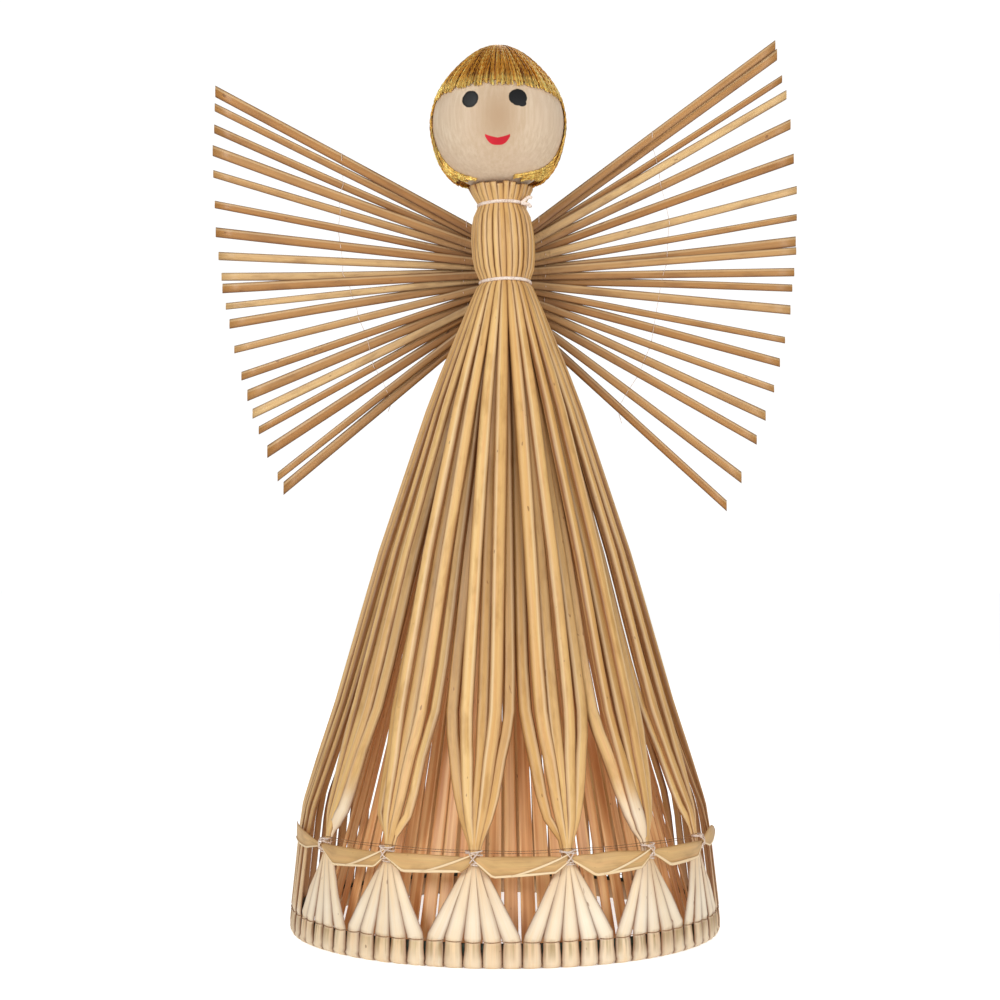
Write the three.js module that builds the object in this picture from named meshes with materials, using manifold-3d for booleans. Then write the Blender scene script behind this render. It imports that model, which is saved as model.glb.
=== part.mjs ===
// A straw angel: seventy-five straws run from a collar under a wooden ball head, through a tied torso,
// down a bell-shaped skirt to a hoop. Across the front they are tied in fives by a thread and a flat straw
// ribbon, and a second layer of thirty straight straws shows between the ties. Two fans of twenty straws,
// laid across the back, are the wings. Millimetres, +Z up, the face looks along -Y, and Z = 0 is the table.
import * as THREE from "three";
import { mergeVertices } from "three/addons/utils/BufferGeometryUtils.js";
import Module from "manifold-3d";

const wasm = await Module();
wasm.setup();

// ---- Driving dimensions ----
const GAP = 0.3; // air between two pieces that touch in the real object

const BALL_RADIUS = 22.5; // a 45 mm wooden ball
const COLLAR_TOP = 251.2; // rim of the straw ends that the ball sits on
const BALL_CENTRE_Z = COLLAR_TOP - 1 + BALL_RADIUS; // the ball sinks 1 mm into the collar
const NECK_Z = 244.6; // upper cord
const WAIST_Z = 218.2; // lower cord
const KNOT_Z = 33; // where five straws are drawn together
const HEM_Z = 8.2; // top edge of the straws folded over the hoop
const LEAN = 2.3; // how far the head stands to the side of the skirt's axis

const COLLAR_RADIUS = 11;
const NECK_RADIUS = 7.4;
const TORSO_RADIUS = 10.9;
const WAIST_RADIUS = 7.9;
const KNOT_RADIUS = 69.3;
const HEM_RADIUS = 72.2;
const HEM_DEPTH = 5.2; // through the hem, from the straws outside the hoop to their ends inside it
const HEM_WALL = 1;
// Half the width of the skirt at each height: a bell that swells from the waist and is upright at the hem.
const SKIRT = [
  [WAIST_Z, 9.2],
  [178.7, 25.3],
  [124, 43.5],
  [76.7, 57],
  [56.3, 63.6],
  [42.7, 67.8],
  [KNOT_Z, KNOT_RADIUS],
  [0, HEM_RADIUS],
];
const WEDGE_FOOT = 213; // the torso's straws are one mass down to here
const BUNDLE_FOOT = KNOT_Z + 4.5; // the straws of a bundle are one mass from here to the hem
const STRAW_WIDTH = 4.4;

const BUNDLES = 15; // groups of straws
const STRAWS = 5; // straws in a bundle
const FIRST_BUNDLE_DEG = -8; // azimuth of the bundle nearest the front
const BUNDLE_DEG = 360 / BUNDLES;
const SLOT_DEG = BUNDLE_DEG / STRAWS;
const TIED = [-2, -1, 0, 1, 2, 3]; // the bundles across the front that are tied, counted from the nearest one

const CORD_RADIUS = 0.5;
const THREAD = 0.6; // side of the thin gathering thread

const WING_REACH = 102; // half the span over the tips
const WING_THICKNESS = 0.9;
const WING_LAYER = 1.15; // neighbouring wing straws lie in turn in three layers, this far apart
const WING_TOP_Z = 232.5; // topmost wing straw, where it crosses the back
const WING_STEP = 1.0; // drop from one wing straw to the next at the back
const WING_FRONT = 11.5; // depth of the wings' front face behind the axis, at the top
const WING_BACKSET = 3; // how much further back the lowest wing straw lies
// How far above level each straw rises in the two hand-spread fans, from the top straw down.
const LEFT_DEG = [
  28.5, 26.5, 23.5, 20, 16.5, 11.5, 6.5, 2.5, -1, -3, -6, -9, -14, -19, -22.5, -26, -29, -33, -38, -40,
];
const RIGHT_DEG = [
  37, 36, 32.5, 30, 25.5, 20, 14.5, 10, 6, 4.5, 1, -1.5, -5.5, -11, -15, -20, -25, -29.5, -37, -42.5,
];
// The tips of each fan are trimmed along an ellipse: height of its centre, and half its height.
const LEFT_TRIM = { z: 265, half: 178 };
const RIGHT_TRIM = { z: 245, half: 157 };

// ---- Materials ----
const finish = (color, roughness, metalness = 0) =>
  new THREE.MeshStandardMaterial({ color, roughness, metalness });
const SKIRT_STRAW = finish(0xd9b77c, 0.5);
const WING_STRAW = finish(0xb98040, 0.5);
const RIBBON_STRAW = finish(0xdfc491, 0.5);
const WOOD = finish(0xd8c0a2, 0.55);
const GOLD_THREAD = finish(0xc8922c, 0.35, 0.8);
const COTTON = finish(0xead8c4, 0.85);
const HOOP_GREEN = finish(0x27382f, 0.6);

// ---- Small helpers ----
const radians = THREE.MathUtils.degToRad;
const lerp = THREE.MathUtils.lerp;

/** A point at an azimuth in degrees from the front, towards +X, at a distance from the axis. */
function around(degrees, radius, z) {
  const a = radians(degrees);
  return new THREE.Vector3(radius * Math.sin(a), -radius * Math.cos(a), z);
}

/** The value at x of a line through [x, value] points in rising or falling order, held at its ends. */
function along(points, x) {
  const rising = points.at(-1)[0] > points[0][0];
  const list = rising ? points : [...points].reverse();
  const next = list.findIndex(([at]) => at > x);
  if (next < 0) return list.at(-1)[1];
  if (next === 0) return list[0][1];
  const [[a, va], [b, vb]] = [list[next - 1], list[next]];
  return lerp(va, vb, (x - a) / (b - a));
}

const skirtRadius = (z) => along(SKIRT, z);

/** Azimuth of a bundle, counted from the one nearest the front. */
const azimuthOf = (bundle) => FIRST_BUNDLE_DEG + bundle * BUNDLE_DEG;

/** Side shift of the upper body at a height. */
const leanAt = (z) => -LEAN * Math.max(0, (z - WAIST_Z) / (BALL_CENTRE_Z - WAIST_Z));

/** A geometry from triangles of points, with its shared vertices merged and faces turned outwards. */
function solidFrom(triangles) {
  const g = new THREE.BufferGeometry().setFromPoints(triangles.flat());
  const merged = mergeVertices(g, 1e-4);
  const index = [...merged.index.array];
  const p = merged.attributes.position;
  const at = (i) => new THREE.Vector3().fromBufferAttribute(p, i);
  const kept = [];
  let volume = 0;
  for (let i = 0; i < index.length; i += 3) {
    const [a, b, c] = index.slice(i, i + 3);
    if (a === b || b === c || a === c) continue; // a face that closed on itself at a pole
    kept.push(a, b, c);
    volume += at(a).dot(at(b).cross(at(c)));
  }
  if (volume < 0) kept.reverse();
  merged.setIndex(kept);
  return merged;
}

/** The faces between two rings of as many points each. */
function bridge(a, b) {
  return a.flatMap((p, i) => {
    const j = (i + 1) % a.length;
    return [[p, a[j], b[j]], [p, b[j], b[i]]];
  });
}

/** A solid through a row of convex sections, capped at both ends or closed on itself. */
function loft(sections, closed = false) {
  const faces = sections.slice(1).flatMap((s, i) => bridge(sections[i], s));
  if (closed) return solidFrom([...faces, ...bridge(sections.at(-1), sections[0])]);
  const fan = (s) => s.slice(2).map((p, i) => [s[0], s[i + 1], p]);
  return solidFrom([...faces, ...fan([...sections[0]].reverse()), ...fan(sections.at(-1))]);
}

/** A sector of a turned solid: an anticlockwise outline of [r, z] points, with a scale for each azimuth. */
function sector(outline, azimuths, scales) {
  const rows = azimuths.map((deg, k) => outline.map(([r, z]) => around(deg, r * scales[k], z)));
  const faces = rows.slice(1).flatMap((row, i) => bridge(rows[i], row));
  const ends = THREE.ShapeUtils.triangulateShape(outline.map(([r, z]) => new THREE.Vector2(r, z)), []);
  const first = ends.map(([a, b, c]) => [rows[0][a], rows[0][c], rows[0][b]]);
  const last = ends.map(([a, b, c]) => [rows.at(-1)[a], rows.at(-1)[b], rows.at(-1)[c]]);
  return solidFrom([...faces, ...first, ...last]);
}

/** One geometry from several that overlap, with any pocket closed in between them filled. */
function unite(geometries) {
  const whole = geometries
    .map((g) => {
      const m = new wasm.Mesh({
        numProp: 3,
        vertProperties: new Float32Array(g.attributes.position.array),
        triVerts: new Uint32Array(g.index.array),
      });
      return new wasm.Manifold(m);
    })
    .reduce((a, b) => a.add(b));
  const [shell] = whole.decompose().sort((a, b) => b.volume() - a.volume());
  const mesh = shell.getMesh();
  return new THREE.BufferGeometry()
    .setAttribute("position", new THREE.BufferAttribute(mesh.vertProperties, 3))
    .setIndex(new THREE.BufferAttribute(mesh.triVerts, 1));
}

const angel = new THREE.Group();

/** Adds a named piece to the angel. */
function add(name, geometry, material) {
  const mesh = new THREE.Mesh(geometry, material);
  mesh.name = name;
  angel.add(mesh);
  return mesh;
}

const numbered = (name, i) => `${name}_${String(i + 1).padStart(2, "0")}`;

// ---- Skirt and torso: fifteen bundles of five straws, and an inner layer in front ----

/** The torso's share of a bundle: a fluted wedge from under the waist to the collar that seats the ball. */
function torsoWedge(azimuth) {
  const half = BUNDLE_DEG / 2;
  const shift = GAP / 2 / Math.sin(radians(half)); // keeps the gap between neighbouring wedges even
  const seat = (r) => BALL_CENTRE_Z - GAP - Math.sqrt(BALL_RADIUS ** 2 - r ** 2);
  const outline = [
    [0, WEDGE_FOOT],
    [skirtRadius(WEDGE_FOOT), WEDGE_FOOT],
    [WAIST_RADIUS, WAIST_Z],
    [TORSO_RADIUS, WAIST_Z + 12],
    [NECK_RADIUS, NECK_Z],
    [COLLAR_RADIUS, COLLAR_TOP],
    [COLLAR_RADIUS - 1, COLLAR_TOP],
    [0, seat(0)],
  ].map(([r, z]) => [Math.max(0, r - shift), z]);
  const flutes = [0.93, 1, 0.93, 1, 0.93]; // two straws' backs on each wedge
  const cuts = [-half, -half / 2, 0, half / 2, half].map((d) => azimuth + d);
  const out = around(azimuth, shift, 0);
  const wedge = sector(outline, cuts, flutes);
  const p = wedge.attributes.position;
  for (let i = 0; i < p.count; i++) {
    p.setXYZ(i, p.getX(i) + out.x + leanAt(p.getZ(i)), p.getY(i) + out.y, p.getZ(i));
  }
  return wedge;
}

/** The sides of a straw: a ridge that faces out, over a flat back. */
function strawSection(azimuth, radius, z, sideways, width, thickness) {
  const out = around(azimuth, 1, 0);
  const side = around(azimuth + 90, 1, 0);
  const middle = around(azimuth, radius, z).addScaledVector(side, sideways);
  return [
    middle.clone().addScaledVector(side, -width / 2).addScaledVector(out, -thickness / 2),
    middle.clone().addScaledVector(out, thickness / 2),
    middle.clone().addScaledVector(side, width / 2).addScaledVector(out, -thickness / 2),
  ];
}

// The five straws of a bundle: place in the spread skirt and under the waist, in slots from the middle of the
// bundle, and the layer each one lies in, counted inwards.
const STRAW_PLACES = [
  { slot: -2, waistSlot: -1.7, layer: 2 },
  { slot: -1, waistSlot: -1.25, layer: 0 },
  { slot: 0, waistSlot: 0, layer: 1 },
  { slot: 1, waistSlot: 1.25, layer: 0 },
  { slot: 2, waistSlot: 1.7, layer: 1 },
];

/** One straw of a bundle, from inside the waist down to the knot or, in one that isn't tied, to the hem. */
function skirtStraw(azimuth, tied, { slot, waistSlot, layer }) {
  const spread = (z, width, thick, place, inset) => {
    const radius = skirtRadius(z) - thick / 2 - layer * inset;
    return strawSection(azimuth + place * SLOT_DEG, radius, z, 0, width, thick);
  };
  // Where the bundle narrows to its knot, the straws stay side by side and face the same way.
  const gathered = (z, width, thick, pitch, inset) => {
    const radius = skirtRadius(z) - thick / 2 - layer * inset;
    return strawSection(azimuth, radius, z, slot * pitch, width, thick);
  };
  const foot = tied
    ? [gathered(46, 2.4, 1.4, 2.7, 0.7), gathered(BUNDLE_FOOT - 1.5, 0.8, 1.6, 0.9, 0)]
    : [
        spread(44, STRAW_WIDTH + 0.2, 1.2, slot, 0.4),
        strawSection(azimuth + slot * SLOT_DEG, HEM_RADIUS - 0.75, HEM_Z - 1.5, 0, STRAW_WIDTH + 0.6, 0.5),
      ];
  return loft([
    spread(WEDGE_FOOT + 1, layer === 0 ? 1.7 : 0.9, 1.1, waistSlot, 1.5),
    spread(160, STRAW_WIDTH, 1.3, lerp(waistSlot, slot, 0.8), 1.7),
    spread(80, STRAW_WIDTH - 0.2, 1.2, slot * 0.98, 1.6),
    ...foot,
  ]);
}

/** The inner layer behind a tied bundle: five straight straws, joined at the foot inside the hem. */
function innerStraws(azimuth) {
  const [foot, bar, top] = [0.6, 3, WEDGE_FOOT - GAP];
  const [thick, half] = [1, 2.02]; // the straws taper with the skirt, so each covers the same share of a slot
  const outer = HEM_RADIUS - HEM_DEPTH - GAP;
  const radius = (z) => lerp(outer - thick, 4.4, Math.max(0, z - bar) / (top - bar));
  const outline = [[-2, foot], [2, foot]].map(([slot, z]) => [slot * SLOT_DEG + Math.sign(slot) * half, z]);
  for (const middle of [2, 1, 0, -1, -2].map((slot) => slot * SLOT_DEG)) {
    outline.push([middle + half, bar], [middle + half, top], [middle - half, top], [middle - half, bar]);
  }
  const wall = (depth) => outline.map(([deg, z]) => around(azimuth + deg, radius(z) + depth, z));
  const [front, back] = [wall(thick), wall(0)];
  const cover = THREE.ShapeUtils.triangulateShape(outline.map(([deg, z]) => new THREE.Vector2(deg, z)), []);
  return solidFrom([
    ...bridge(front, back),
    ...cover.map(([i, j, k]) => [front[i], front[k], front[j]]),
    ...cover.map(([i, j, k]) => [back[i], back[j], back[k]]),
  ]);
}

/** The straws from the knot on: side by side, spread down to the hem, under the hoop and up inside it. */
function hemStraws(azimuth, tied) {
  const reach = BUNDLE_DEG / 2 - THREE.MathUtils.radToDeg(GAP / 2 / HEM_RADIUS);
  const inside = HEM_RADIUS - HEM_DEPTH;
  const top = BUNDLE_FOOT - 1;
  // Each station has the outer and inner skin as [r, z], and how far the straws' ridges stand out.
  const knot = { skin: [KNOT_RADIUS, top], lining: [KNOT_RADIUS - 2.2, top], ridge: 0.1, half: 2.7 };
  const stations = [
    { skin: [HEM_RADIUS - 0.1, HEM_Z], lining: [HEM_RADIUS - HEM_WALL - 0.1, HEM_Z], ridge: 0.35 },
    { skin: [HEM_RADIUS, 0], lining: [HEM_RADIUS - HEM_WALL, HEM_WALL], ridge: 0.35 },
    { skin: [inside, 0], lining: [inside + HEM_WALL, HEM_WALL], ridge: 0 },
    { skin: [inside, HEM_Z - 1], lining: [inside + HEM_WALL, HEM_Z - 1], ridge: 0 },
  ];
  const shares = Array.from({ length: 2 * STRAWS + 1 }, (_, i) => i / STRAWS - 1);
  return loft(
    [...(tied ? [knot] : []), ...stations].map(({ skin, lining, ridge, half }) => {
      const at = ([r, z], share, sunk) =>
        half
          ? around(azimuth, r - sunk, z).addScaledVector(around(azimuth + 90, 1, 0), share * half)
          : around(azimuth + share * reach, r - sunk, z);
      const outer = shares.map((share, i) => at(skin, share, i % 2 ? 0 : ridge));
      return [...outer, at(lining, 1, 0), at(lining, 0, 0), at(lining, -1, 0)];
    }),
  );
}

function addBundles() {
  for (let b = 0; b < BUNDLES; b++) {
    const azimuth = azimuthOf(b);
    const tied = TIED.some((t) => (t + BUNDLES) % BUNDLES === b);
    const straws = STRAW_PLACES.map((place) => skirtStraw(azimuth, tied, place));
    const whole = unite([torsoWedge(azimuth), ...straws, hemStraws(azimuth, tied)]);
    add(numbered("skirt_straws", b), whole, SKIRT_STRAW);
  }
  TIED.forEach((bundle, i) => add(numbered("inner_straws", i), innerStraws(azimuthOf(bundle)), SKIRT_STRAW));
}

// ---- Hoop, ribbon and threads ----

/** A band of rectangular section with a height, radius and thickness at each azimuth. */
function band(stations, closed = false) {
  return loft(
    stations.map(({ deg, r, low, high, thick }) => [
      around(deg, r - thick / 2, low),
      around(deg, r + thick / 2, low),
      around(deg, r + thick / 2, high),
      around(deg, r - thick / 2, high),
    ]),
    closed,
  );
}

function addHoop() {
  const thick = 1.3;
  const stations = Array.from({ length: 2 * BUNDLES }, (_, i) => ({
    deg: azimuthOf(i / 2),
    r: HEM_RADIUS - HEM_WALL - 2 * GAP - thick / 2,
    low: HEM_WALL + GAP,
    high: HEM_Z - 0.6,
    thick,
  }));
  add("hoop", band(stations, true), HOOP_GREEN);
}

/** The ribbon: over the knots across the front, with a short leaf past the last knot on each side. */
function addRibbon() {
  const r = KNOT_RADIUS + 1;
  const leaf = (deg, low, high) => ({ deg, r: r + 0.5, low: KNOT_Z + low, high: KNOT_Z + high, thick: 0.6 });
  const knots = TIED.map(azimuthOf);
  const stations = knots.flatMap((deg, i) => [
    { deg, r, low: KNOT_Z - 1.6, high: KNOT_Z + 1, thick: 0.7 },
    { deg: deg + BUNDLE_DEG / 2, r: r + 0.8, low: KNOT_Z - 4.8, high: KNOT_Z + 0.9, thick: 0.6 },
  ]);
  stations.pop();
  const [first, last] = [knots[0], knots.at(-1)];
  const left = [leaf(first - 23, -0.8, 4.4), leaf(first - 12, -1.4, 3.4)];
  const right = [leaf(last + 8, -1.4, 3), leaf(last + 15, 1, 2.6)];
  add("ribbon", band([...left, ...stations, ...right]), RIBBON_STRAW);
}

/** A three-sided thread along a path of points, which may close on itself. */
function thread(points, across, size, closed) {
  const last = points.length - 1;
  const near = (i) => (closed ? points.at(i % points.length) : points[Math.min(Math.max(i, 0), last)]);
  return loft(
    points.map((p, i) => {
      const side = near(i + 1).clone().sub(near(i - 1)).cross(across).normalize().multiplyScalar(size / 2);
      const up = across.clone().normalize().multiplyScalar(size / 2);
      return [p.clone().sub(side).sub(up), p.clone().add(side).sub(up), p.clone().add(up)];
    }),
    closed,
  );
}

/** The gathering thread: it passes behind each tied bundle, and over the front of the gap to the next. */
function addGatheringThread() {
  const z = KNOT_Z + 4.6;
  const [inner, outer, half] = [KNOT_RADIUS - 3.4, KNOT_RADIUS + 0.6, 3.9];
  const path = [around(azimuthOf(TIED[0] - 0.5), outer, z)];
  for (const deg of TIED.map(azimuthOf)) {
    const side = around(deg + 90, 1, 0);
    path.push(around(deg, inner, z).addScaledVector(side, -half));
    path.push(around(deg, inner, z).addScaledVector(side, half));
    path.push(around(deg + BUNDLE_DEG / 2, outer, z));
  }
  add("gathering_thread", thread(path, new THREE.Vector3(0, 0, 1), THREAD, false), COTTON);
}

/** A cord tied round the bundle of straws at a height. */
function addCord(name, radius, z) {
  const cord = new THREE.TorusGeometry(radius + CORD_RADIUS + 0.25, CORD_RADIUS, 3, 15);
  add(name, cord, COTTON).position.set(leanAt(z), 0, z);
}

// ---- Head ----

function addHead() {
  const centre = new THREE.Vector3(leanAt(BALL_CENTRE_Z), 0, BALL_CENTRE_Z);
  add("head_ball", new THREE.SphereGeometry(BALL_RADIUS, 18, 10), WOOD).position.copy(centre);
  add("hair", hairCap(), GOLD_THREAD).position.copy(centre);
}

// The edge of the hair: how far round from the back of the head it reaches, in degrees, at each angle from
// the crown (0) down the side to the nape (180).
const HAIR_EDGE = [
  [0, 155],
  [30, 150],
  [54, 141],
  [72, 122],
  [90, 101],
  [108, 88],
  [126, 82],
  [144, 75],
  [162, 61],
  [180, 56],
];

/** Thickness of the hair over the ball in a direction: most at the crown and where it is drawn to the nape. */
function hairThickness(direction) {
  const fromCrown = THREE.MathUtils.radToDeg(Math.acos(direction.z));
  const low = THREE.MathUtils.smoothstep(-direction.z, 0.2, 0.8);
  return 1.2 + 3.3 * Math.exp(-((fromCrown / 24) ** 2)) + 1.6 * low;
}

/** A cap over the ball, thicker at the crown, cut along the fringe and open at the face and the neck. */
function hairCap() {
  const [spokes, rings] = [18, 7];
  const point = (spoke, k, radiusOf) => {
    const clock = (spoke * 360) / spokes;
    const edge = along(HAIR_EDGE, Math.min(clock, 360 - clock));
    const fromBack = radians((edge * k) / rings);
    const c = radians(clock);
    const direction = new THREE.Vector3(
      Math.sin(fromBack) * Math.sin(c),
      Math.cos(fromBack),
      Math.sin(fromBack) * Math.cos(c),
    );
    return direction.multiplyScalar(radiusOf(direction));
  };
  const outer = (d) => BALL_RADIUS + GAP + hairThickness(d);
  const inner = () => BALL_RADIUS + GAP + 0.92;
  const layer = (radiusOf) =>
    Array.from({ length: rings + 1 }, (_, k) =>
      Array.from({ length: spokes }, (_, s) => point(s, k, radiusOf)),
    );
  const [skin, lining] = [layer(outer), layer(inner)];
  const shell = [...skin, ...lining.reverse()];
  return solidFrom(shell.slice(1).flatMap((row, i) => bridge(shell[i], row)));
}

// ---- Wings ----

/** Depth of a wing straw's middle behind the axis: in three layers, the lower ones set back by the skirt. */
function wingDepth(i) {
  const down = (i / (LEFT_DEG.length - 1)) ** 1.5;
  return WING_FRONT + WING_BACKSET * down + (i % 3) * WING_LAYER + WING_THICKNESS / 2;
}

/** Width of a wing straw, which differs a little from straw to straw. */
const wingWidth = (i) => 2.4 + 0.3 * Math.sin(2.3 * i + 0.6) + 0.15 * Math.sin(5.1 * i);

/** Where a straw's edge, rising at an angle from a point on the centre line, meets the trimmed outline. */
function trimmedTip(sign, z, degrees, offset, trim) {
  const [c, s] = [Math.cos(radians(degrees)), Math.sin(radians(degrees))];
  const [x0, z0] = [-offset * s, z + offset * c - trim.z];
  const a = (c / WING_REACH) ** 2 + (s / trim.half) ** 2;
  const b = (x0 * c) / WING_REACH ** 2 + (z0 * s) / trim.half ** 2;
  const k = (x0 / WING_REACH) ** 2 + (z0 / trim.half) ** 2 - 1;
  const t = (-b + Math.sqrt(b * b - a * k)) / a;
  return [sign * (x0 + t * c), trim.z + z0 + t * s];
}

/** One wing straw: from the trimmed left tip, across the back, to the trimmed right tip. */
function wingStraw(i) {
  const z = WING_TOP_Z - i * WING_STEP;
  const [depth, half] = [wingDepth(i), wingWidth(i) / 2];
  const edges = [
    { offset: -half, y: depth },
    { offset: 0, y: depth - WING_THICKNESS / 2 },
    { offset: half, y: depth },
    { offset: 0, y: depth + WING_THICKNESS / 2 },
  ];
  const end = (sign, degrees, trim) =>
    edges.map(({ offset, y }) => {
      const [x, tipZ] = trimmedTip(sign, z, degrees, offset, trim);
      return new THREE.Vector3(x, y, tipZ);
    });
  const middle = edges.map(({ offset, y }) => new THREE.Vector3(0, y, z + offset));
  return loft([end(-1, LEFT_DEG[i], LEFT_TRIM), middle, end(1, RIGHT_DEG[i], RIGHT_TRIM)]);
}

/** A thread that passes in front of the fan, round its lowest straw and back behind it. */
function fanThread(sign, degrees, reach, size) {
  const last = degrees.length - 1;
  const picks = [0, 6, 12, last];
  const clear = WING_THICKNESS / 2 + GAP + size / 2;
  const at = (i, depth, beyond = 0) => {
    const a = radians(degrees[i]);
    const r = reach(i);
    const z = WING_TOP_Z - i * WING_STEP;
    const x = r * Math.cos(a) - beyond * Math.sin(a);
    return new THREE.Vector3(sign * x, depth, z + r * Math.sin(a) + beyond * Math.cos(a));
  };
  const front = (i) => wingDepth(i) - (i % 3) * WING_LAYER - clear;
  const back = (i) => wingDepth(i) + (2 - (i % 3)) * WING_LAYER + clear;
  const past = 2.2; // how far the loop stands out past the highest and the lowest straw
  const path = [
    at(0, front(0), past),
    ...picks.map((i) => at(i, front(i))),
    at(last, front(last), -past),
    at(last, back(last), -past),
    ...[...picks].reverse().map((i) => at(i, back(i))),
    at(0, back(0), past),
  ];
  return thread(path, new THREE.Vector3(1, 0, 0), size, true);
}

function addWings() {
  LEFT_DEG.forEach((_, i) => add(numbered("wing_straw", i), wingStraw(i), WING_STRAW));
  const lace = (i) => lerp(64, 52, Math.min(1, i / 12));
  const root = (degrees) => (i) => (COLLAR_RADIUS + 1.5) / Math.cos(radians(degrees[i]));
  add("wing_lace_left", fanThread(-1, LEFT_DEG, lace, THREAD / 2), COTTON);
  add("wing_lace_right", fanThread(1, RIGHT_DEG, lace, THREAD / 2), COTTON);
  add("wing_root_thread_left", fanThread(-1, LEFT_DEG, root(LEFT_DEG), THREAD / 2), COTTON);
  add("wing_root_thread_right", fanThread(1, RIGHT_DEG, root(RIGHT_DEG), THREAD / 2), COTTON);
}

addBundles();
addHoop();
addRibbon();
addGatheringThread();
addCord("neck_cord", NECK_RADIUS, NECK_Z);
addCord("waist_cord", WAIST_RADIUS, WAIST_Z);
addHead();
addWings();

export default angel;
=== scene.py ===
"""The looks of a straw angel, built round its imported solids.

Straws, hoop, ribbon, threads, wooden head and gold hair are made at the sizes of the solids they stand for.
"""

import logging
import math
from collections.abc import Iterable, Sequence
from dataclasses import dataclass, field
from enum import Enum
from typing import Any

import bpy
import numpy as np
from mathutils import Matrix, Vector


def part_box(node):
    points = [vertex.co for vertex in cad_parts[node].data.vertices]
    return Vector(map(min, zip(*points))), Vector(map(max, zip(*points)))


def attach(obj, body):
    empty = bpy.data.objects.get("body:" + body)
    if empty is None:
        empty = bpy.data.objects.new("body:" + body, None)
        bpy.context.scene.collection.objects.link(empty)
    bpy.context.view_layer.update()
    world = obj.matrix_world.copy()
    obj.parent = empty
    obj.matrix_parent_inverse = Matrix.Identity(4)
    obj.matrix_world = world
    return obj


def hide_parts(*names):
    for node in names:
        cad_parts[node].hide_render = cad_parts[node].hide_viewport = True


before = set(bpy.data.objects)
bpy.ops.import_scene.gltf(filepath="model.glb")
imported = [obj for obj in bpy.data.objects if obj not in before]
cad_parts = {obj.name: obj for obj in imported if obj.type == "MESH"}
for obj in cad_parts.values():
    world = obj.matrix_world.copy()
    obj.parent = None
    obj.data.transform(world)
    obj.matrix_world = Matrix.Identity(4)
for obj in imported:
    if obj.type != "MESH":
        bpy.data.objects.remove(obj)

log = logging.getLogger("straw_angel")

MM = 0.001  # every size below is in millimetres until it becomes a mesh
TAU = 2 * math.pi
KNOT_OVER_RIBBON = 4.8  # from the ribbon's lowest edge up to the knots
STRAW_OUTSIDE_HOOP = 1.6  # from the hoop's outside to the outside of the straws folded under it
Array = np.ndarray
Colour = tuple[int, int, int]


# --------------------------------------------------------------------------------------------------
# Sizes read from the solids
# --------------------------------------------------------------------------------------------------


def node_box(node: str) -> tuple[Vector, Vector]:
    """The lowest and highest corner of a solid, in millimetres.

    Args:
        node: Name of the solid.

    Returns:
        Two corners.
    """
    low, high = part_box(node)
    return Vector(low) / MM, Vector(high) / MM


def middle(node: str) -> Vector:
    """The centre of a solid's box, in millimetres."""
    low, high = node_box(node)
    return (low + high) / 2


def nodes_named(start: str) -> list[str]:
    """The solids whose names start with a word, in the order of their numbers."""
    return sorted(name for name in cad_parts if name.startswith(start))


@dataclass(frozen=True)
class Build:
    """Where the angel's main parts are, taken from its solids.

    Attributes:
        ball: Centre of the head ball.
        ball_radius: Its radius.
        collar: Height of the straw ends under the ball.
        neck: Height of the upper cord.
        waist: Height of the lower cord.
        knot: Height of the knots.
        hem_radius: Outer radius of the hem.
        bundles: How many bundles of straws there are.
    """

    ball: Vector
    ball_radius: float
    collar: float
    neck: float
    waist: float
    knot: float
    hem_radius: float
    bundles: int

    @classmethod
    def from_frame(cls) -> "Build":
        """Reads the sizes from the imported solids."""
        low, high = node_box("head_ball")
        hoop_low, hoop_high = node_box("hoop")
        return cls(
            ball=(low + high) / 2,
            ball_radius=(high.y - low.y) / 2,
            collar=node_box("skirt_straws_01")[1].z,
            neck=middle("neck_cord").z,
            waist=middle("waist_cord").z,
            knot=node_box("ribbon")[0].z + KNOT_OVER_RIBBON,
            hem_radius=(hoop_high.x - hoop_low.x) / 2 + STRAW_OUTSIDE_HOOP,
            bundles=len(nodes_named("skirt_straws")),
        )

    def lean(self, z: float | Array) -> float | Array:
        """How far the upper body is shifted along X at a height."""
        return self.ball.x * np.clip((z - self.waist) / (self.ball.z - self.waist), 0, None)


BUILD = Build.from_frame()
FIRST_BUNDLE_DEG = -8.0  # azimuth of the bundle nearest the front, from the front towards +X
BUNDLE_DEG = 360 / BUILD.bundles
STRAWS = 5
FOLD_WIDTH = 5.9  # of a straw where it is folded under the hoop
UV_SPREAD = 4000.0  # straws are shifted along their finish by up to this, so that no two look alike
# Azimuths of the bundles across the front that are tied with thread and crossed by the ribbon.
TIED_DEG = tuple(FIRST_BUNDLE_DEG + (i - 2) * BUNDLE_DEG for i in range(len(nodes_named("inner_straws"))))


def around(degrees: float | Array, radius: float | Array, z: float | Array) -> Array:
    """Points at an azimuth from the front, a distance from the axis and a height.

    Args:
        degrees: Azimuth from the front (-Y) towards +X.
        radius: Distance from the axis.
        z: Height.

    Returns:
        An array whose last axis is X, Y, Z.
    """
    a = np.radians(degrees)
    a, radius, z = np.broadcast_arrays(a, radius, z)
    return np.stack([radius * np.sin(a), -radius * np.cos(a), z], axis=-1).astype(float)


# --------------------------------------------------------------------------------------------------
# Node graphs
# --------------------------------------------------------------------------------------------------


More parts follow.
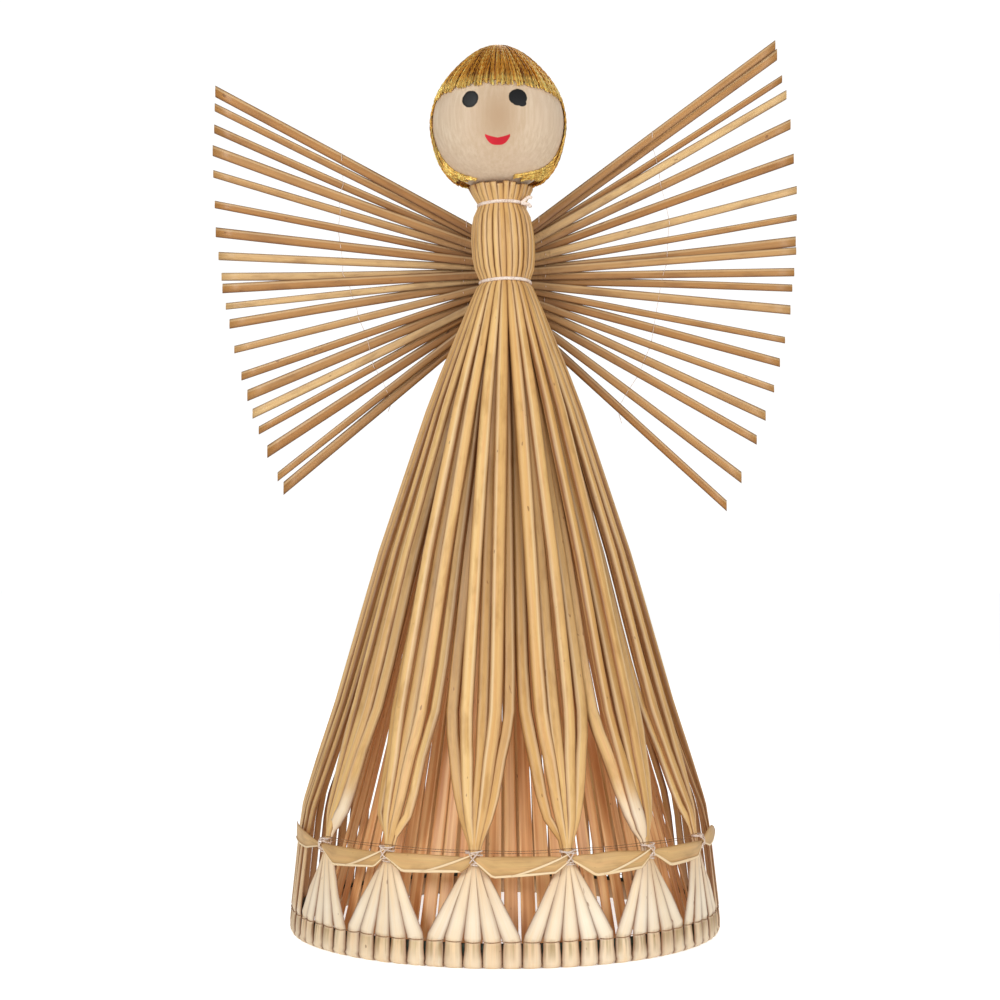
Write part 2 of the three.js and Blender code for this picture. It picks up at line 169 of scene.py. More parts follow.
class Value:
    """A number socket of a shader, whose operators add Math nodes."""

    def __init__(self, graph: "Graph", socket: bpy.types.NodeSocket) -> None:
        """Wraps a socket of a graph."""
        self.graph = graph
        self.socket = socket

    def maths(self, operation: str, *others: "Value | float", first: bool = True) -> "Value":
        """Adds one Math node.

        Args:
            operation: The node's operation.
            others: The other operands.
            first: Whether this value is the first operand.

        Returns:
            The result.
        """
        operands = [self, *others] if first else [*others, self]
        node = self.graph.node("ShaderNodeMath", {"operation": operation}, dict(enumerate(operands)))
        return Value(self.graph, node.outputs[0])

    def __add__(self, other: "Value | float") -> "Value":
        """The sum of two values."""
        return self.maths("ADD", other)

    __radd__ = __add__

    def __sub__(self, other: "Value | float") -> "Value":
        """One value less another."""
        return self.maths("SUBTRACT", other)

    def __rsub__(self, other: "Value | float") -> "Value":
        """A number less this value."""
        return self.maths("SUBTRACT", other, first=False)

    def __mul__(self, other: "Value | float") -> "Value":
        """The product of two values."""
        return self.maths("MULTIPLY", other)

    __rmul__ = __mul__

    def __truediv__(self, other: "Value | float") -> "Value":
        """This value over another."""
        return self.maths("DIVIDE", other)

    def __rtruediv__(self, other: "Value | float") -> "Value":
        """A number over this value."""
        return self.maths("DIVIDE", other, first=False)

    def __pow__(self, other: "Value | float") -> "Value":
        """This value to a power."""
        return self.maths("POWER", other)

    def __neg__(self) -> "Value":
        """This value with its sign turned."""
        return self.maths("MULTIPLY", -1.0)

    def abs(self) -> "Value":
        """The size of the value."""
        return self.maths("ABSOLUTE")

    def cos(self) -> "Value":
        """Its cosine."""
        return self.maths("COSINE")

    def sin(self) -> "Value":
        """Its sine."""
        return self.maths("SINE")

    def max(self, other: "Value | float") -> "Value":
        """The larger of two values."""
        return self.maths("MAXIMUM", other)

    def step(self, low: float, high: float) -> "Value":
        """A smooth rise from 0 at low to 1 at high, or a fall if high is below low."""
        if high < low:
            return 1 - self.step(high, low)
        node = self.graph.node(
            "ShaderNodeMapRange",
            {"interpolation_type": "SMOOTHSTEP"},
            {0: self, 1: low, 2: high, 3: 0.0, 4: 1.0},
        )
        return Value(self.graph, node.outputs[0])


class Graph:
    """A node tree that is filled in by code."""

    def __init__(self, tree: bpy.types.NodeTree) -> None:
        """Wraps an empty tree."""
        self.tree = tree

    def feed(self, socket: bpy.types.NodeSocket, given: Any) -> None:
        """Gives an input its value, or links it where it is given a socket.

        Args:
            socket: The input.
            given: A number, a colour of three numbers, a vector, a Value or a socket.
        """
        source = getattr(given, "socket", given)
        if isinstance(source, bpy.types.NodeSocket):
            self.tree.links.new(source, socket)
        elif socket.type == "RGBA" and len(source) == 3:
            socket.default_value = (*source, 1.0)
        else:
            socket.default_value = source

    def node(
        self, kind: str, settings: dict[str, Any] | None = None, inputs: dict[Any, Any] | None = None
    ) -> bpy.types.Node:
        """Adds a node.

        Args:
            kind: Type name of the node.
            settings: Its properties, set first.
            inputs: Value or link for each input, by its name or number.

        Returns:
            The node.
        """
        node = self.tree.nodes.new(kind)
        for key, setting in (settings or {}).items():
            setattr(node, key, setting)
        for key, given in (inputs or {}).items():
            self.feed(node.inputs[key], given)
        return node


class Paint(Graph):
    """A material's nodes."""

    def __init__(self, name: str) -> None:
        """Starts a material with one Principled shader."""
        self.material = bpy.data.materials.new(name)
        self.material.use_nodes = True
        super().__init__(self.material.node_tree)
        self.shader = self.tree.nodes["Principled BSDF"]
        self.coordinates = self.node("ShaderNodeTexCoord")

    def place(self) -> bpy.types.NodeSocket:
        """Object coordinates, in metres."""
        return self.coordinates.outputs["Object"]

    def attribute(self, name: str) -> Value:
        """A number that the mesh carries."""
        return Value(self, self.node("ShaderNodeAttribute", {"attribute_name": name}).outputs["Fac"])

    def split(self, vector: bpy.types.NodeSocket) -> tuple[Value, Value, Value]:
        """The three numbers of a vector."""
        node = self.node("ShaderNodeSeparateXYZ", None, {0: vector})
        return tuple(Value(self, out) for out in node.outputs[:3])

    def join(self, x: Any, y: Any, z: Any) -> bpy.types.NodeSocket:
        """A vector of three numbers."""
        return self.node("ShaderNodeCombineXYZ", None, {0: x, 1: y, 2: z}).outputs[0]

    def noise(self, vector: Any, scale: float = 1.0, detail: float = 2.0, rough: float = 0.5) -> Value:
        """Noise between 0 and 1 over a vector."""
        inputs = {"Vector": vector, "Scale": scale, "Detail": detail, "Roughness": rough}
        return Value(self, self.node("ShaderNodeTexNoise", None, inputs).outputs["Fac"])

    def mix(self, factor: Any, first: Any, second: Any, blend: str = "MIX") -> bpy.types.NodeSocket:
        """A blend of two colours.

        Args:
            factor: Share of the second colour.
            first: A colour or a link.
            second: A colour or a link.
            blend: Blend type.

        Returns:
            The colour's socket.
        """
        settings = {"data_type": "RGBA", "blend_type": blend, "clamp_factor": True}
        return self.node("ShaderNodeMix", settings, {0: factor, 6: first, 7: second}).outputs[2]

    def set(self, **sockets: Any) -> None:
        """Sets or links the shader's own sockets; underscores stand for spaces in their names."""
        for name, given in sockets.items():
            self.feed(self.shader.inputs[name.replace("_", " ")], given)

    def bump(self, height: Value, distance: float, strength: float = 1.0) -> None:
        """Raises the surface by a height, for light alone.

        Args:
            height: Height between 0 and 1.
            distance: What 1 is worth, in metres.
            strength: How much of it shows.
        """
        inputs = {"Strength": strength, "Distance": distance, "Height": height}
        self.set(Normal=self.node("ShaderNodeBump", None, inputs).outputs[0])


def srgb(red: int, green: int, blue: int) -> tuple[float, float, float]:
    """A colour of 0 to 255 as the linear numbers that a shader takes."""
    shares = [c / 255 for c in (red, green, blue)]
    return tuple(c / 12.92 if c <= 0.04045 else ((c + 0.055) / 1.055) ** 2.4 for c in shares)


# --------------------------------------------------------------------------------------------------
# Finishes
# --------------------------------------------------------------------------------------------------


@dataclass(frozen=True)
class StrawFinish:
    """Natural straw: a glossy skin with long fibres, mottled from pale to gold, with a painted highlight down
    one side and painted shade along its edges and in its inner layers, over an inner side painted warmer for
    the light that shines through it.

    Attributes:
        name: Material name.
        pale: The lightest skin.
        bleached: Skin that was flattened or folded white.
        ripe: The usual skin.
        shade: The darkest, in the mottling.
        edge: Painted shade along a straw's edges, where neighbours meet; also the colour of its dark specks.
        lining: Colours of the straw's inner side, pale and dark: painted glow of the light that shines
            through the straw, and painted shade.
        stain: Dull streaks where the straw is folded.
        roughness: Roughness of the skin.
        glow: Strength of a painted glow in the inner side's colours, standing for light that shines through
            the straw.
    """

    name: str
    pale: Colour
    bleached: Colour
    ripe: Colour
    shade: Colour
    edge: Colour
    lining: tuple[Colour, Colour]
    stain: Colour = (160, 132, 84)
    roughness: float = 0.42
    glow: float = 0.0

    def make(self) -> bpy.types.Material:
        """Builds the material. It reads the straw's own UV map, in metres, and its attributes.

        Returns:
            The material.
        """
        paint = Paint(self.name)
        across, along, _ = paint.split(paint.coordinates.outputs["UV"])
        tone, blush = paint.attribute("tone"), paint.attribute("blush")
        edge, lining, deep = paint.attribute("edge"), paint.attribute("lining"), paint.attribute("deep")
        flank, stain = paint.attribute("flank"), paint.attribute("stain")
        grain = paint.noise(paint.join(across * 3200, along * 60, tone * 40), detail=3.0, rough=0.65)
        fibre = paint.noise(paint.join(across * 900, along * 14, tone * 70 + 9), detail=2.0)
        mottle = paint.noise(paint.join(across * 260, along * 70, tone * 90 + 31), detail=3.0, rough=0.6)
        specks = paint.noise(paint.join(across * 700, along * 260, tone * 50 + 57), detail=1.0)
        skin = paint.mix(tone, srgb(*self.ripe), srgb(*self.pale))
        skin = paint.mix(mottle.step(0.45, 0.75) * 0.55, skin, srgb(*self.shade))
        # Painted highlight: a pale band down the side of each straw that flank picks.
        painted_highlight = flank.step(0.25, 0.55) * (flank + (mottle - 0.5) * 0.6).step(1.0, 0.75)
        skin = paint.mix(painted_highlight * 0.6, skin, paint.mix(0.28, srgb(*self.pale), srgb(*self.bleached)))
        skin = paint.mix(blush, skin, srgb(*self.bleached))
        skin = paint.mix(stain * (fibre * 0.7 + mottle * 0.3).step(0.4, 0.6) * 0.75, skin, srgb(*self.stain))
        # Painted shade along each straw's edges, where neighbours meet.
        skin = paint.mix(edge * 0.85, skin, srgb(*self.edge))
        # The inner side's colours: painted glow of light shining into the straw, and painted shade.
        inner = paint.mix(fibre.step(0.3, 0.7), srgb(*self.lining[1]), srgb(*self.lining[0]))
        skin = paint.mix(lining, skin, inner)
        # Painted shade: the skin darkened towards a dark brown, most in the inner layers of the torso and the
        # upper skirt.
        skin = paint.mix(deep, skin, paint.mix(0.95, skin, srgb(98, 52, 24), "MULTIPLY"))
        skin = paint.mix(specks.step(0.745, 0.79) * 0.55, skin, srgb(*self.edge))
        lines = (grain - 0.5) * 0.5 + (fibre - 0.5) * 0.34 + 0.5
        skin = paint.mix(0.55, skin, paint.join(lines, lines, lines), "OVERLAY")
        paint.set(Base_Color=skin, Roughness=self.roughness - 0.1 + grain * 0.22, Specular_IOR_Level=0.5)
        # Painted glow: the inner side's colours given off as light, less where painted shade is.
        if self.glow:
            through = lining * (1 - deep)
            paint.set(Emission_Color=paint.mix(through, (0.0, 0.0, 0.0), skin), Emission_Strength=self.glow)
        paint.bump(grain * 0.5 + fibre * 0.5, 0.00009, 0.8)
        return paint.material


@dataclass(frozen=True)
class Face:
    """Where the face is painted, in millimetres right of and above the ball's centre.

    Attributes:
        eyes: For each eye its place, half width, half height and slant in degrees.
        mouth: Middle of the upper lip's edge and half the width.
        lip: Height of the lips in the middle.
        smile: How far the corners turn up.
    """

    eyes: tuple[tuple[float, float, float, float, float], ...] = (
        (-9.3, 4.1, 2.75, 3.05, 18),
        (6.6, 4.5, 3.15, 3.0, 0),
    )
    mouth: tuple[float, float, float] = (-0.2, -8.7, 4.15)
    lip: float = 2.5
    smile: float = 0.95


@dataclass(frozen=True)
class BallFinish:
    """Bare pale wood with a painted face: two black dots and a red smile."""

    face: Face = field(default_factory=Face)

    def make(self) -> bpy.types.Material:
        """Builds the material, in object coordinates.

        Returns:
            The material.
        """
        paint = Paint("painted_ball")
        x, y, z = paint.split(paint.place())
        right, ahead, up = [(v - c * MM) * (1 / MM) for v, c in zip((x, y, z), BUILD.ball)]
        grain = paint.noise(paint.join(x * 900, y * 900, z * 60), detail=4.0, rough=0.6)
        cloud = paint.noise(paint.place(), 60.0, 3.0)
        pores = paint.noise(paint.join(x * 4200, y * 4200, z * 420), detail=1.0)
        wood = paint.mix(grain.step(0.3, 0.72), srgb(212, 188, 158), srgb(228, 208, 182))
        wood = paint.mix(cloud.step(0.4, 0.7) * 0.45, wood, srgb(218, 192, 166))
        wood = paint.mix(pores.step(0.62, 0.78) * 0.22, wood, srgb(176, 142, 108))
        shadow = ((right * right) * -0.012 + (up + 2.0) * (up + 2.0) * -0.006).maths("EXPONENT")
        wood = paint.mix(shadow, wood, srgb(186, 156, 124))
        wobble = (paint.noise(paint.place(), 900.0, 2.0) - 0.5) * 0.16
        front = ahead.step(0.5, -0.5)
        painted = wood
        sheen = 0.0
        for number, (cx, cz, a, b, slant) in enumerate(self.face.eyes):
            turn = math.radians(slant)
            u, w = right - cx, up - cz
            p = (u * math.cos(turn) - w * math.sin(turn)) * (1 / a)
            q = (u * math.sin(turn) + w * math.cos(turn)) * (1 / b)
            reach = (p * p + q * q) ** 0.5 + wobble
            if number:  # a stroke of the brush ran out at the lower edge
                tail = (((u - 1.3) * (1 / 1.5)) ** 2.0 + ((w + 1.9) * (1 / 1.3)) ** 2.0) ** 0.5 + wobble
                reach = -((-reach).max(-tail))
            mask = reach.step(1.02, 0.93) * front
            inner = srgb(16, 16, 18) if number else srgb(36, 38, 38)
            ink = paint.mix(reach.step(0.62, 0.9), inner, srgb(16, 16, 16))
            painted = paint.mix(mask, painted, ink)
            sheen = mask + sheen
        cx, cz, half = self.face.mouth
        share = (right - cx).abs() * (1 / half) + wobble * 0.25
        top = share * share * self.face.smile + cz
        bow = (share * -4.0).maths("EXPONENT") * 0.25
        bottom = (share * share * share) * (self.face.smile + self.face.lip - 0.75) + (cz - self.face.lip)
        between = (top - bow - up).step(-0.12, 0.12) * (up - bottom).step(-0.12, 0.12)
        mouth = between * share.step(1.03, 0.98) * front
        red = paint.mix(cloud.step(0.45, 0.6), srgb(196, 20, 40), srgb(214, 36, 52))
        painted = paint.mix(mouth, painted, red)
        paint.set(Base_Color=painted, Roughness=0.62 - (sheen + mouth) * 0.12, Specular_IOR_Level=0.3)
        paint.bump(grain * 0.6 + pores * 0.4, 0.00005, 0.5)
        return paint.material


@dataclass(frozen=True)
class ThreadFinish:
    """A spun thread, plain or metallic.

    Attributes:
        name: Material name.
        light: Colour of most fibres.
        dark: Colour between them.
        metallic: 1 for metallic thread.
        roughness: Roughness of the fibres.
        grain: Size of the twist that shows, in waves a metre.
    """

    name: str
    light: Colour
    dark: Colour
    metallic: float = 0.0
    roughness: float = 0.8
    grain: float = 2600.0

    def make(self) -> bpy.types.Material:
        """Builds the material, in object coordinates.

        Returns:
            The material.
        """
        paint = Paint(self.name)
        twist = paint.noise(paint.place(), self.grain, 2.0, 0.6)
        strand = paint.noise(paint.place(), self.grain / 7, 2.0)
        tint = paint.mix((twist * 0.6 + strand * 0.4).step(0.36, 0.62), srgb(*self.dark), srgb(*self.light))
        paint.set(Base_Color=tint, Metallic=self.metallic, Roughness=self.roughness - 0.12 + twist * 0.24)
        paint.bump(twist, 0.00012, 0.7)
        return paint.material


@dataclass(frozen=True)
class GoldFinish:
    """Metallic gold threads: bright ones beside dark ones, palest where the fringe is cut.

    Attributes:
        name: Material name.
        bright: Colour of the brightest threads.
        light: Colour of most threads.
        dark: Colour of the darkest.
        metallic: How metallic they are.
        roughness: Their roughness.
    """

    name: str
    bright: Colour
    light: Colour
    dark: Colour
    metallic: float = 0.5
    roughness: float = 0.3

    def make(self) -> bpy.types.Material:
        """Builds the material, from the direction seen from the ball's centre.

        Returns:
            The material.
        """
        paint = Paint(self.name)
        right, back, up = [(v - c * MM) * (1 / MM) for v, c in zip(paint.split(paint.place()), BUILD.ball)]
        clock = right.maths("ARCTAN2", -back)
        fall = ((right * right + back * back) ** 0.5).maths("ARCTAN2", up)
        thread = paint.noise(paint.join(clock * 36, fall * 1.3, 0.0), detail=2.0, rough=0.7)
        lock = paint.noise(paint.join(clock * 9, fall * 0.8, 4.0), detail=1.0)
        glint = paint.noise(paint.place(), 1300.0, 2.0)
        share = thread * 0.68 + lock * 0.25 + glint * 0.07
        tint = paint.mix(share.step(0.4, 0.5), srgb(*self.dark), srgb(*self.light))
        tint = paint.mix(share.step(0.53, 0.6), tint, srgb(*self.bright))
        cut = fall.step(0.92, 1.12) * clock.abs().step(1.55, 1.4)
        tint = paint.mix(cut * 0.4, tint, srgb(*self.bright))
        paint.set(Base_Color=tint, Metallic=self.metallic, Roughness=self.roughness - 0.08 + glint * 0.16)
        paint.bump(glint, 0.00005, 0.5)
        return paint.material


@dataclass(frozen=True)
class HoopFinish:
    """The dark green hoop: matt plastic with fine moulding marks."""

    def make(self) -> bpy.types.Material:
        """Builds the material.

        Returns:
            The material.
        """
        paint = Paint("hoop_green")
        mark = paint.noise(paint.place(), 700.0, 3.0)
        tint = paint.mix(mark.step(0.35, 0.7), srgb(38, 54, 46), srgb(62, 80, 68))
        paint.set(Base_Color=tint, Roughness=0.5 + mark * 0.2)
        paint.bump(mark, 0.00008, 0.5)
        return paint.material


class Finish(Enum):
    """The angel's finishes."""

    SKIRT = StrawFinish(
        "skirt_straw",
        pale=(241, 199, 132),
        bleached=(255, 240, 214),
        ripe=(213, 162, 92),
        shade=(182, 132, 64),
        edge=(116, 56, 18),
        lining=((230, 182, 126), (204, 144, 88)),
        glow=0.12,
    )
    WING = StrawFinish(
        "wing_straw",
        pale=(226, 188, 130),
        bleached=(252, 228, 188),
        ripe=(174, 120, 60),
        shade=(142, 94, 44),
        edge=(92, 48, 20),
        lining=((176, 116, 62), (146, 90, 44)),
        roughness=0.4,
    )
    RIBBON = StrawFinish(
        "ribbon_straw",
        pale=(226, 184, 122),
        bleached=(250, 226, 184),
        ripe=(204, 160, 100),
        shade=(172, 128, 74),
        edge=(172, 126, 70),
        lining=((226, 170, 116), (200, 130, 76)),
        stain=(150, 118, 74),
    )
    BALL = BallFinish()
    GOLD = GoldFinish("gold_thread", (255, 236, 142), (226, 158, 50), (112, 58, 10))
    # A darker, duller copy of the gold: painted shade for the threads underneath.
    GOLD_SHADED = GoldFinish(
        "shaded_gold_underlayer", (214, 150, 52), (160, 100, 28), (84, 44, 8), metallic=0.2, roughness=0.5
    )
    COTTON = ThreadFinish("cotton_thread", (246, 232, 220), (206, 178, 158), roughness=0.85)
    STITCH = ThreadFinish("stitch_thread", (176, 130, 92), (118, 80, 52), roughness=0.85)
    HOOP = HoopFinish()

    @property
    def material(self) -> bpy.types.Material:
        """The finish's material, made once."""
        key = f"made_{self.name}"
        if key not in _MADE:
            _MADE[key] = self.value.make()
        return _MADE[key]


_MADE: dict[str, bpy.types.Material] = {}


# --------------------------------------------------------------------------------------------------
# Meshes
# --------------------------------------------------------------------------------------------------


@dataclass
class MeshDraft:
    """Points, faces, UV map and attributes of one piece while it is being made.

    Attributes:
        points: Blocks of points, in millimetres.
        faces: Faces as tuples of point numbers.
        uvs: One pair for each corner of each face, in millimetres.
        marks: Blocks of attribute values for the points, by attribute name.
        count: How many points there are so far.
    """

    points: list[Array] = field(default_factory=list)
    faces: list[tuple[int, ...]] = field(default_factory=list)
    uvs: list[tuple[float, float]] = field(default_factory=list)
    marks: dict[str, list[Array]] = field(default_factory=dict)
    count: int = 0

    def add_block(self, points: Array, marks: dict[str, Array]) -> int:
        """Adds points.

        Args:
            points: N by 3 array, in millimetres.
            marks: N values for each attribute.

        Returns:
            Number of the first point.
        """
        first = self.count
        self.points.append(points)
        for name, values in marks.items():
            self.marks.setdefault(name, []).append(np.broadcast_to(values, len(points)))
        self.count += len(points)
        return first

    def add_rings(
        self, first: int, rings: int, sides: int, closed: bool = False, turned: bool = False
    ) -> None:
        """Adds the faces between rings of points that follow each other.

        Args:
            first: Number of the first ring's first point.
            rings: How many rings there are.
            sides: Points in each ring.
            closed: Whether the last ring is joined to the first.
            turned: Whether the faces point the other way.
        """
        for i in range(rings if closed else rings - 1):
            a, b = first + i * sides, first + (i + 1) % rings * sides
            for j in range(sides):
                k = (j + 1) % sides
                corners = [(a + j, (i, j)), (b + j, (i + 1, j)), (b + k, (i + 1, j + 1)), (a + k, (i, j + 1))]
                if turned:
                    corners = [corners[0], *corners[:0:-1]]
                self.faces.append(tuple(point for point, _ in corners))
                self.uvs += [uv for _, uv in corners]

    def add_cap(self, pole: int, ring: int, sides: int, turned: bool = False) -> None:
        """Adds the triangles between a pole and a ring of points.

        Args:
            pole: Number of the pole.
            ring: Number of the ring's first point.
            sides: Points in the ring.
            turned: Whether the faces point the other way.
        """
        for j in range(sides):
            k = (j + 1) % sides
            near, far = (k, j) if turned else (j, k)
            self.faces.append((pole, ring + near, ring + far))
            self.uvs += [(j, 0), (j, 1), (j + 1, 1)]

    def to_object(self, name: str, material: bpy.types.Material) -> bpy.types.Object:
        """Makes the piece.

        Args:
            name: Name of the piece.
            material: Its material.

        Returns:
            The object, at the origin, with its place in its mesh.
        """
        mesh = bpy.data.meshes.new(name)
        mesh.from_pydata(np.concatenate(self.points) * MM, [], self.faces)
        layer = mesh.uv_layers.new(name="UVMap")
        layer.data.foreach_set("uv", (np.array(self.uvs) * MM).ravel())
        for mark, blocks in self.marks.items():
            attribute = mesh.attributes.new(mark, "FLOAT", "POINT")
            attribute.data.foreach_set("value", np.concatenate(blocks).astype(np.float32))
        mesh.materials.append(material)
        mesh.polygons.foreach_set("use_smooth", [True] * len(mesh.polygons))
        mesh.update()
        piece = bpy.data.objects.new(name, mesh)
        bpy.context.scene.collection.objects.link(piece)
        return piece


@dataclass(frozen=True)
class Section:
    """A straw's section: a flattened tube, which may have a crease along its front.

    Attributes:
        sides: Points round the section.
        squareness: 1 for an ellipse, less for a flatter strip.
        crease: Depth of the crease, as a share of half the thickness.
        crease_at: Where the crease runs, from -1 to 1 across the straw.
    """

    sides: int = 16
    squareness: float = 0.8
    crease: float = 0.0
    crease_at: float = 0.0

    def outline(self) -> Array:
        """The section's points, from -1 to 1 across and from -1 to 1 outwards."""
        a = TAU * (np.arange(self.sides) + 0.5) / self.sides
        x = np.sign(np.cos(a)) * np.abs(np.cos(a)) ** self.squareness
        y = np.sign(np.sin(a)) * np.abs(np.sin(a)) ** self.squareness
        y = np.where(y > 0, y - self.crease * np.exp(-(((x - self.crease_at) / 0.16) ** 2)), y)
        return np.stack([x, y], axis=-1)


def unit(vectors: Array) -> Array:
    """The vectors at length 1."""
    return vectors / np.maximum(np.linalg.norm(vectors, axis=-1, keepdims=True), 1e-9)


@dataclass
class Strip:
    """A straw along a path.

    Attributes:
        path: N by 3 array of its middle, in millimetres.
        side: N by 3 array of directions across it.
        width: Width at each point.
        thick: Thickness at each point.
        section: Its section.
        marks: Attribute values at each point.
    """

    path: Array
    side: Array
    width: Array
    thick: Array
    section: Section
    marks: dict[str, Array | float]

    def sweep_into(self, draft: MeshDraft, shift: float = 0.0, end_sides: Array | None = None) -> None:
        """Adds the straw to a draft, as a closed tube with its ends covered.

        Args:
            draft: The piece that it belongs to.
            shift: Offset of its UV map along the straw, so that no two straws look alike.
            end_sides: Directions across its two cut ends, with their lengths, where they are cut at a slant.
        """
        run = unit(np.gradient(self.path, axis=0))
        side = unit(self.side - run * np.sum(self.side * run, axis=1, keepdims=True))
        out = unit(np.cross(run, side))
        if end_sides is not None:
            side[0], side[-1] = end_sides
        outline = self.section.outline()
        rows, sides = len(self.path), len(outline)
        half_w, half_t = self.width[:, None, None] / 2, self.thick[:, None, None] / 2
        points = (
            self.path[:, None, :]
            + side[:, None, :] * outline[None, :, :1] * half_w
            + out[:, None, :] * outline[None, :, 1:] * half_t
        )
        marks = {name: np.repeat(np.broadcast_to(v, rows), sides) for name, v in self.marks.items()}
        x, y = np.tile(outline[:, 0], rows), np.tile(outline[:, 1], rows)
        # edge: painted shade along each straw's edges.
        marks["edge"] = np.abs(x) ** 3.6
        # flank picks the side of each straw that takes the painted highlight.
        marks["flank"] = marks.get("flank", 1.0) * x
        # The inner side takes the painted glow and shade colours.
        marks["lining"] = marks.get("lining", 0) + np.clip(-y * 1.6, 0, 1) * marks.pop("inner", 1.0)
        first = draft.add_block(points.reshape(-1, 3), marks)
        steps = np.linalg.norm(np.diff(self.path, axis=0), axis=1)
        along = np.concatenate([[0], np.cumsum(steps)]) + shift
        around_it = np.linalg.norm(np.roll(outline, -1, axis=0) - outline, axis=1) * self.width.mean() / 2
        across = np.concatenate([[0], np.cumsum(around_it)])
        for i in range(rows - 1):
            for j in range(sides):
                k = (j + 1) % sides
                a, b = first + i * sides, first + (i + 1) * sides
                draft.faces.append((a + j, a + k, b + k, b + j))
                u, w = across[j], across[j + 1]
                draft.uvs += [(u, along[i]), (w, along[i]), (w, along[i + 1]), (u, along[i + 1])]
        for row, turned in ((0, True), (rows - 1, False)):
            ring = [first + row * sides + j for j in range(sides)]
            draft.faces.append(tuple(reversed(ring)) if turned else tuple(ring))
            draft.uvs += [(across[j], along[row]) for j in range(sides)]


def dress(piece: bpy.types.Object, slot: str, *nodes: str) -> bpy.types.Object:
    """Fixes a piece to the angel and says what it stands for.

    Args:
        piece: The piece.
        slot: Name of a material slot; not used.
        nodes: The solids that it stands for.

    Returns:
        The piece.
    """
    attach(piece, "root")
    if nodes:
        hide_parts(*nodes)
    meaning = ", ".join(nodes) or "itself"
    log.info("%s: %d faces, stands for %s", piece.name, len(piece.data.polygons), meaning)
    return piece


# --------------------------------------------------------------------------------------------------
# Threads, by geometry nodes
# --------------------------------------------------------------------------------------------------


class Weaver(Graph):
    """A geometry node tree with named inputs."""

    KINDS = {float: "NodeSocketFloat", int: "NodeSocketInt", bpy.types.Material: "NodeSocketMaterial"}

    def __init__(self, name: str, inputs: dict[str, type]) -> None:
        """Starts a tree.

        Args:
            name: Name of the tree.
            inputs: Type of each input after the geometry, by its name.
        """
        super().__init__(bpy.data.node_groups.new(name, "GeometryNodeTree"))
        interface = self.tree.interface
        interface.new_socket("Geometry", in_out="INPUT", socket_type="NodeSocketGeometry")
        interface.new_socket("Geometry", in_out="OUTPUT", socket_type="NodeSocketGeometry")
        self.keys = {}
        for key, kind in inputs.items():
            socket = interface.new_socket(key, in_out="INPUT", socket_type=self.KINDS[kind])
            self.keys[key] = socket.identifier
        self.given = self.node("NodeGroupInput")

    def input(self, name: str) -> Value:
        """One of the tree's inputs."""
        return Value(self, self.given.outputs[name])

    def deliver(self, geometry: bpy.types.NodeSocket, material: Value) -> None:
        """Ends the tree: real geometry, smooth, in its material."""
        real = self.node("GeometryNodeRealizeInstances", None, {0: geometry})
        smooth = self.node("GeometryNodeSetShadeSmooth", None, {0: real.outputs[0]})
        dressed = self.node("GeometryNodeSetMaterial", None, {0: smooth.outputs[0], "Material": material})
        self.node("NodeGroupOutput", None, {0: dressed.outputs[0]})

    def vector(self, operation: str, first: Any, second: Any) -> bpy.types.NodeSocket:
        """One Vector Math node with two operands, the second a number where the first is scaled."""
        inputs = {0: first, 3 if operation == "SCALE" else 1: second}
        return self.node("ShaderNodeVectorMath", {"operation": operation}, inputs).outputs[0]

    def weave(
        self, name: str, points: Array, edges: Sequence[tuple[int, int]], **values: Any
    ) -> bpy.types.Object:
        """Runs the tree on points joined by edges, and keeps the result as a plain mesh.

        Args:
            name: Name of the piece.
            points: N by 3 array, in millimetres.
            edges: Pairs of point numbers.
            values: The tree's inputs, with underscores for spaces.

        Returns:
            The piece, at the origin.
        """
        guide = bpy.data.meshes.new(f"{name}_guide")
        guide.from_pydata(points * MM, edges, [])
        piece = bpy.data.objects.new(name, guide)
        bpy.context.scene.collection.objects.link(piece)
        modifier = piece.modifiers.new("weave", "NODES")
        modifier.node_group = self.tree
        for key, value in values.items():
            modifier[self.keys[key.replace("_", " ")]] = value
        graph = bpy.context.evaluated_depsgraph_get()
        mesh = bpy.data.meshes.new_from_object(piece.evaluated_get(graph), depsgraph=graph)
        piece.modifiers.remove(modifier)
        piece.data = mesh
        mesh.name = name
        return piece


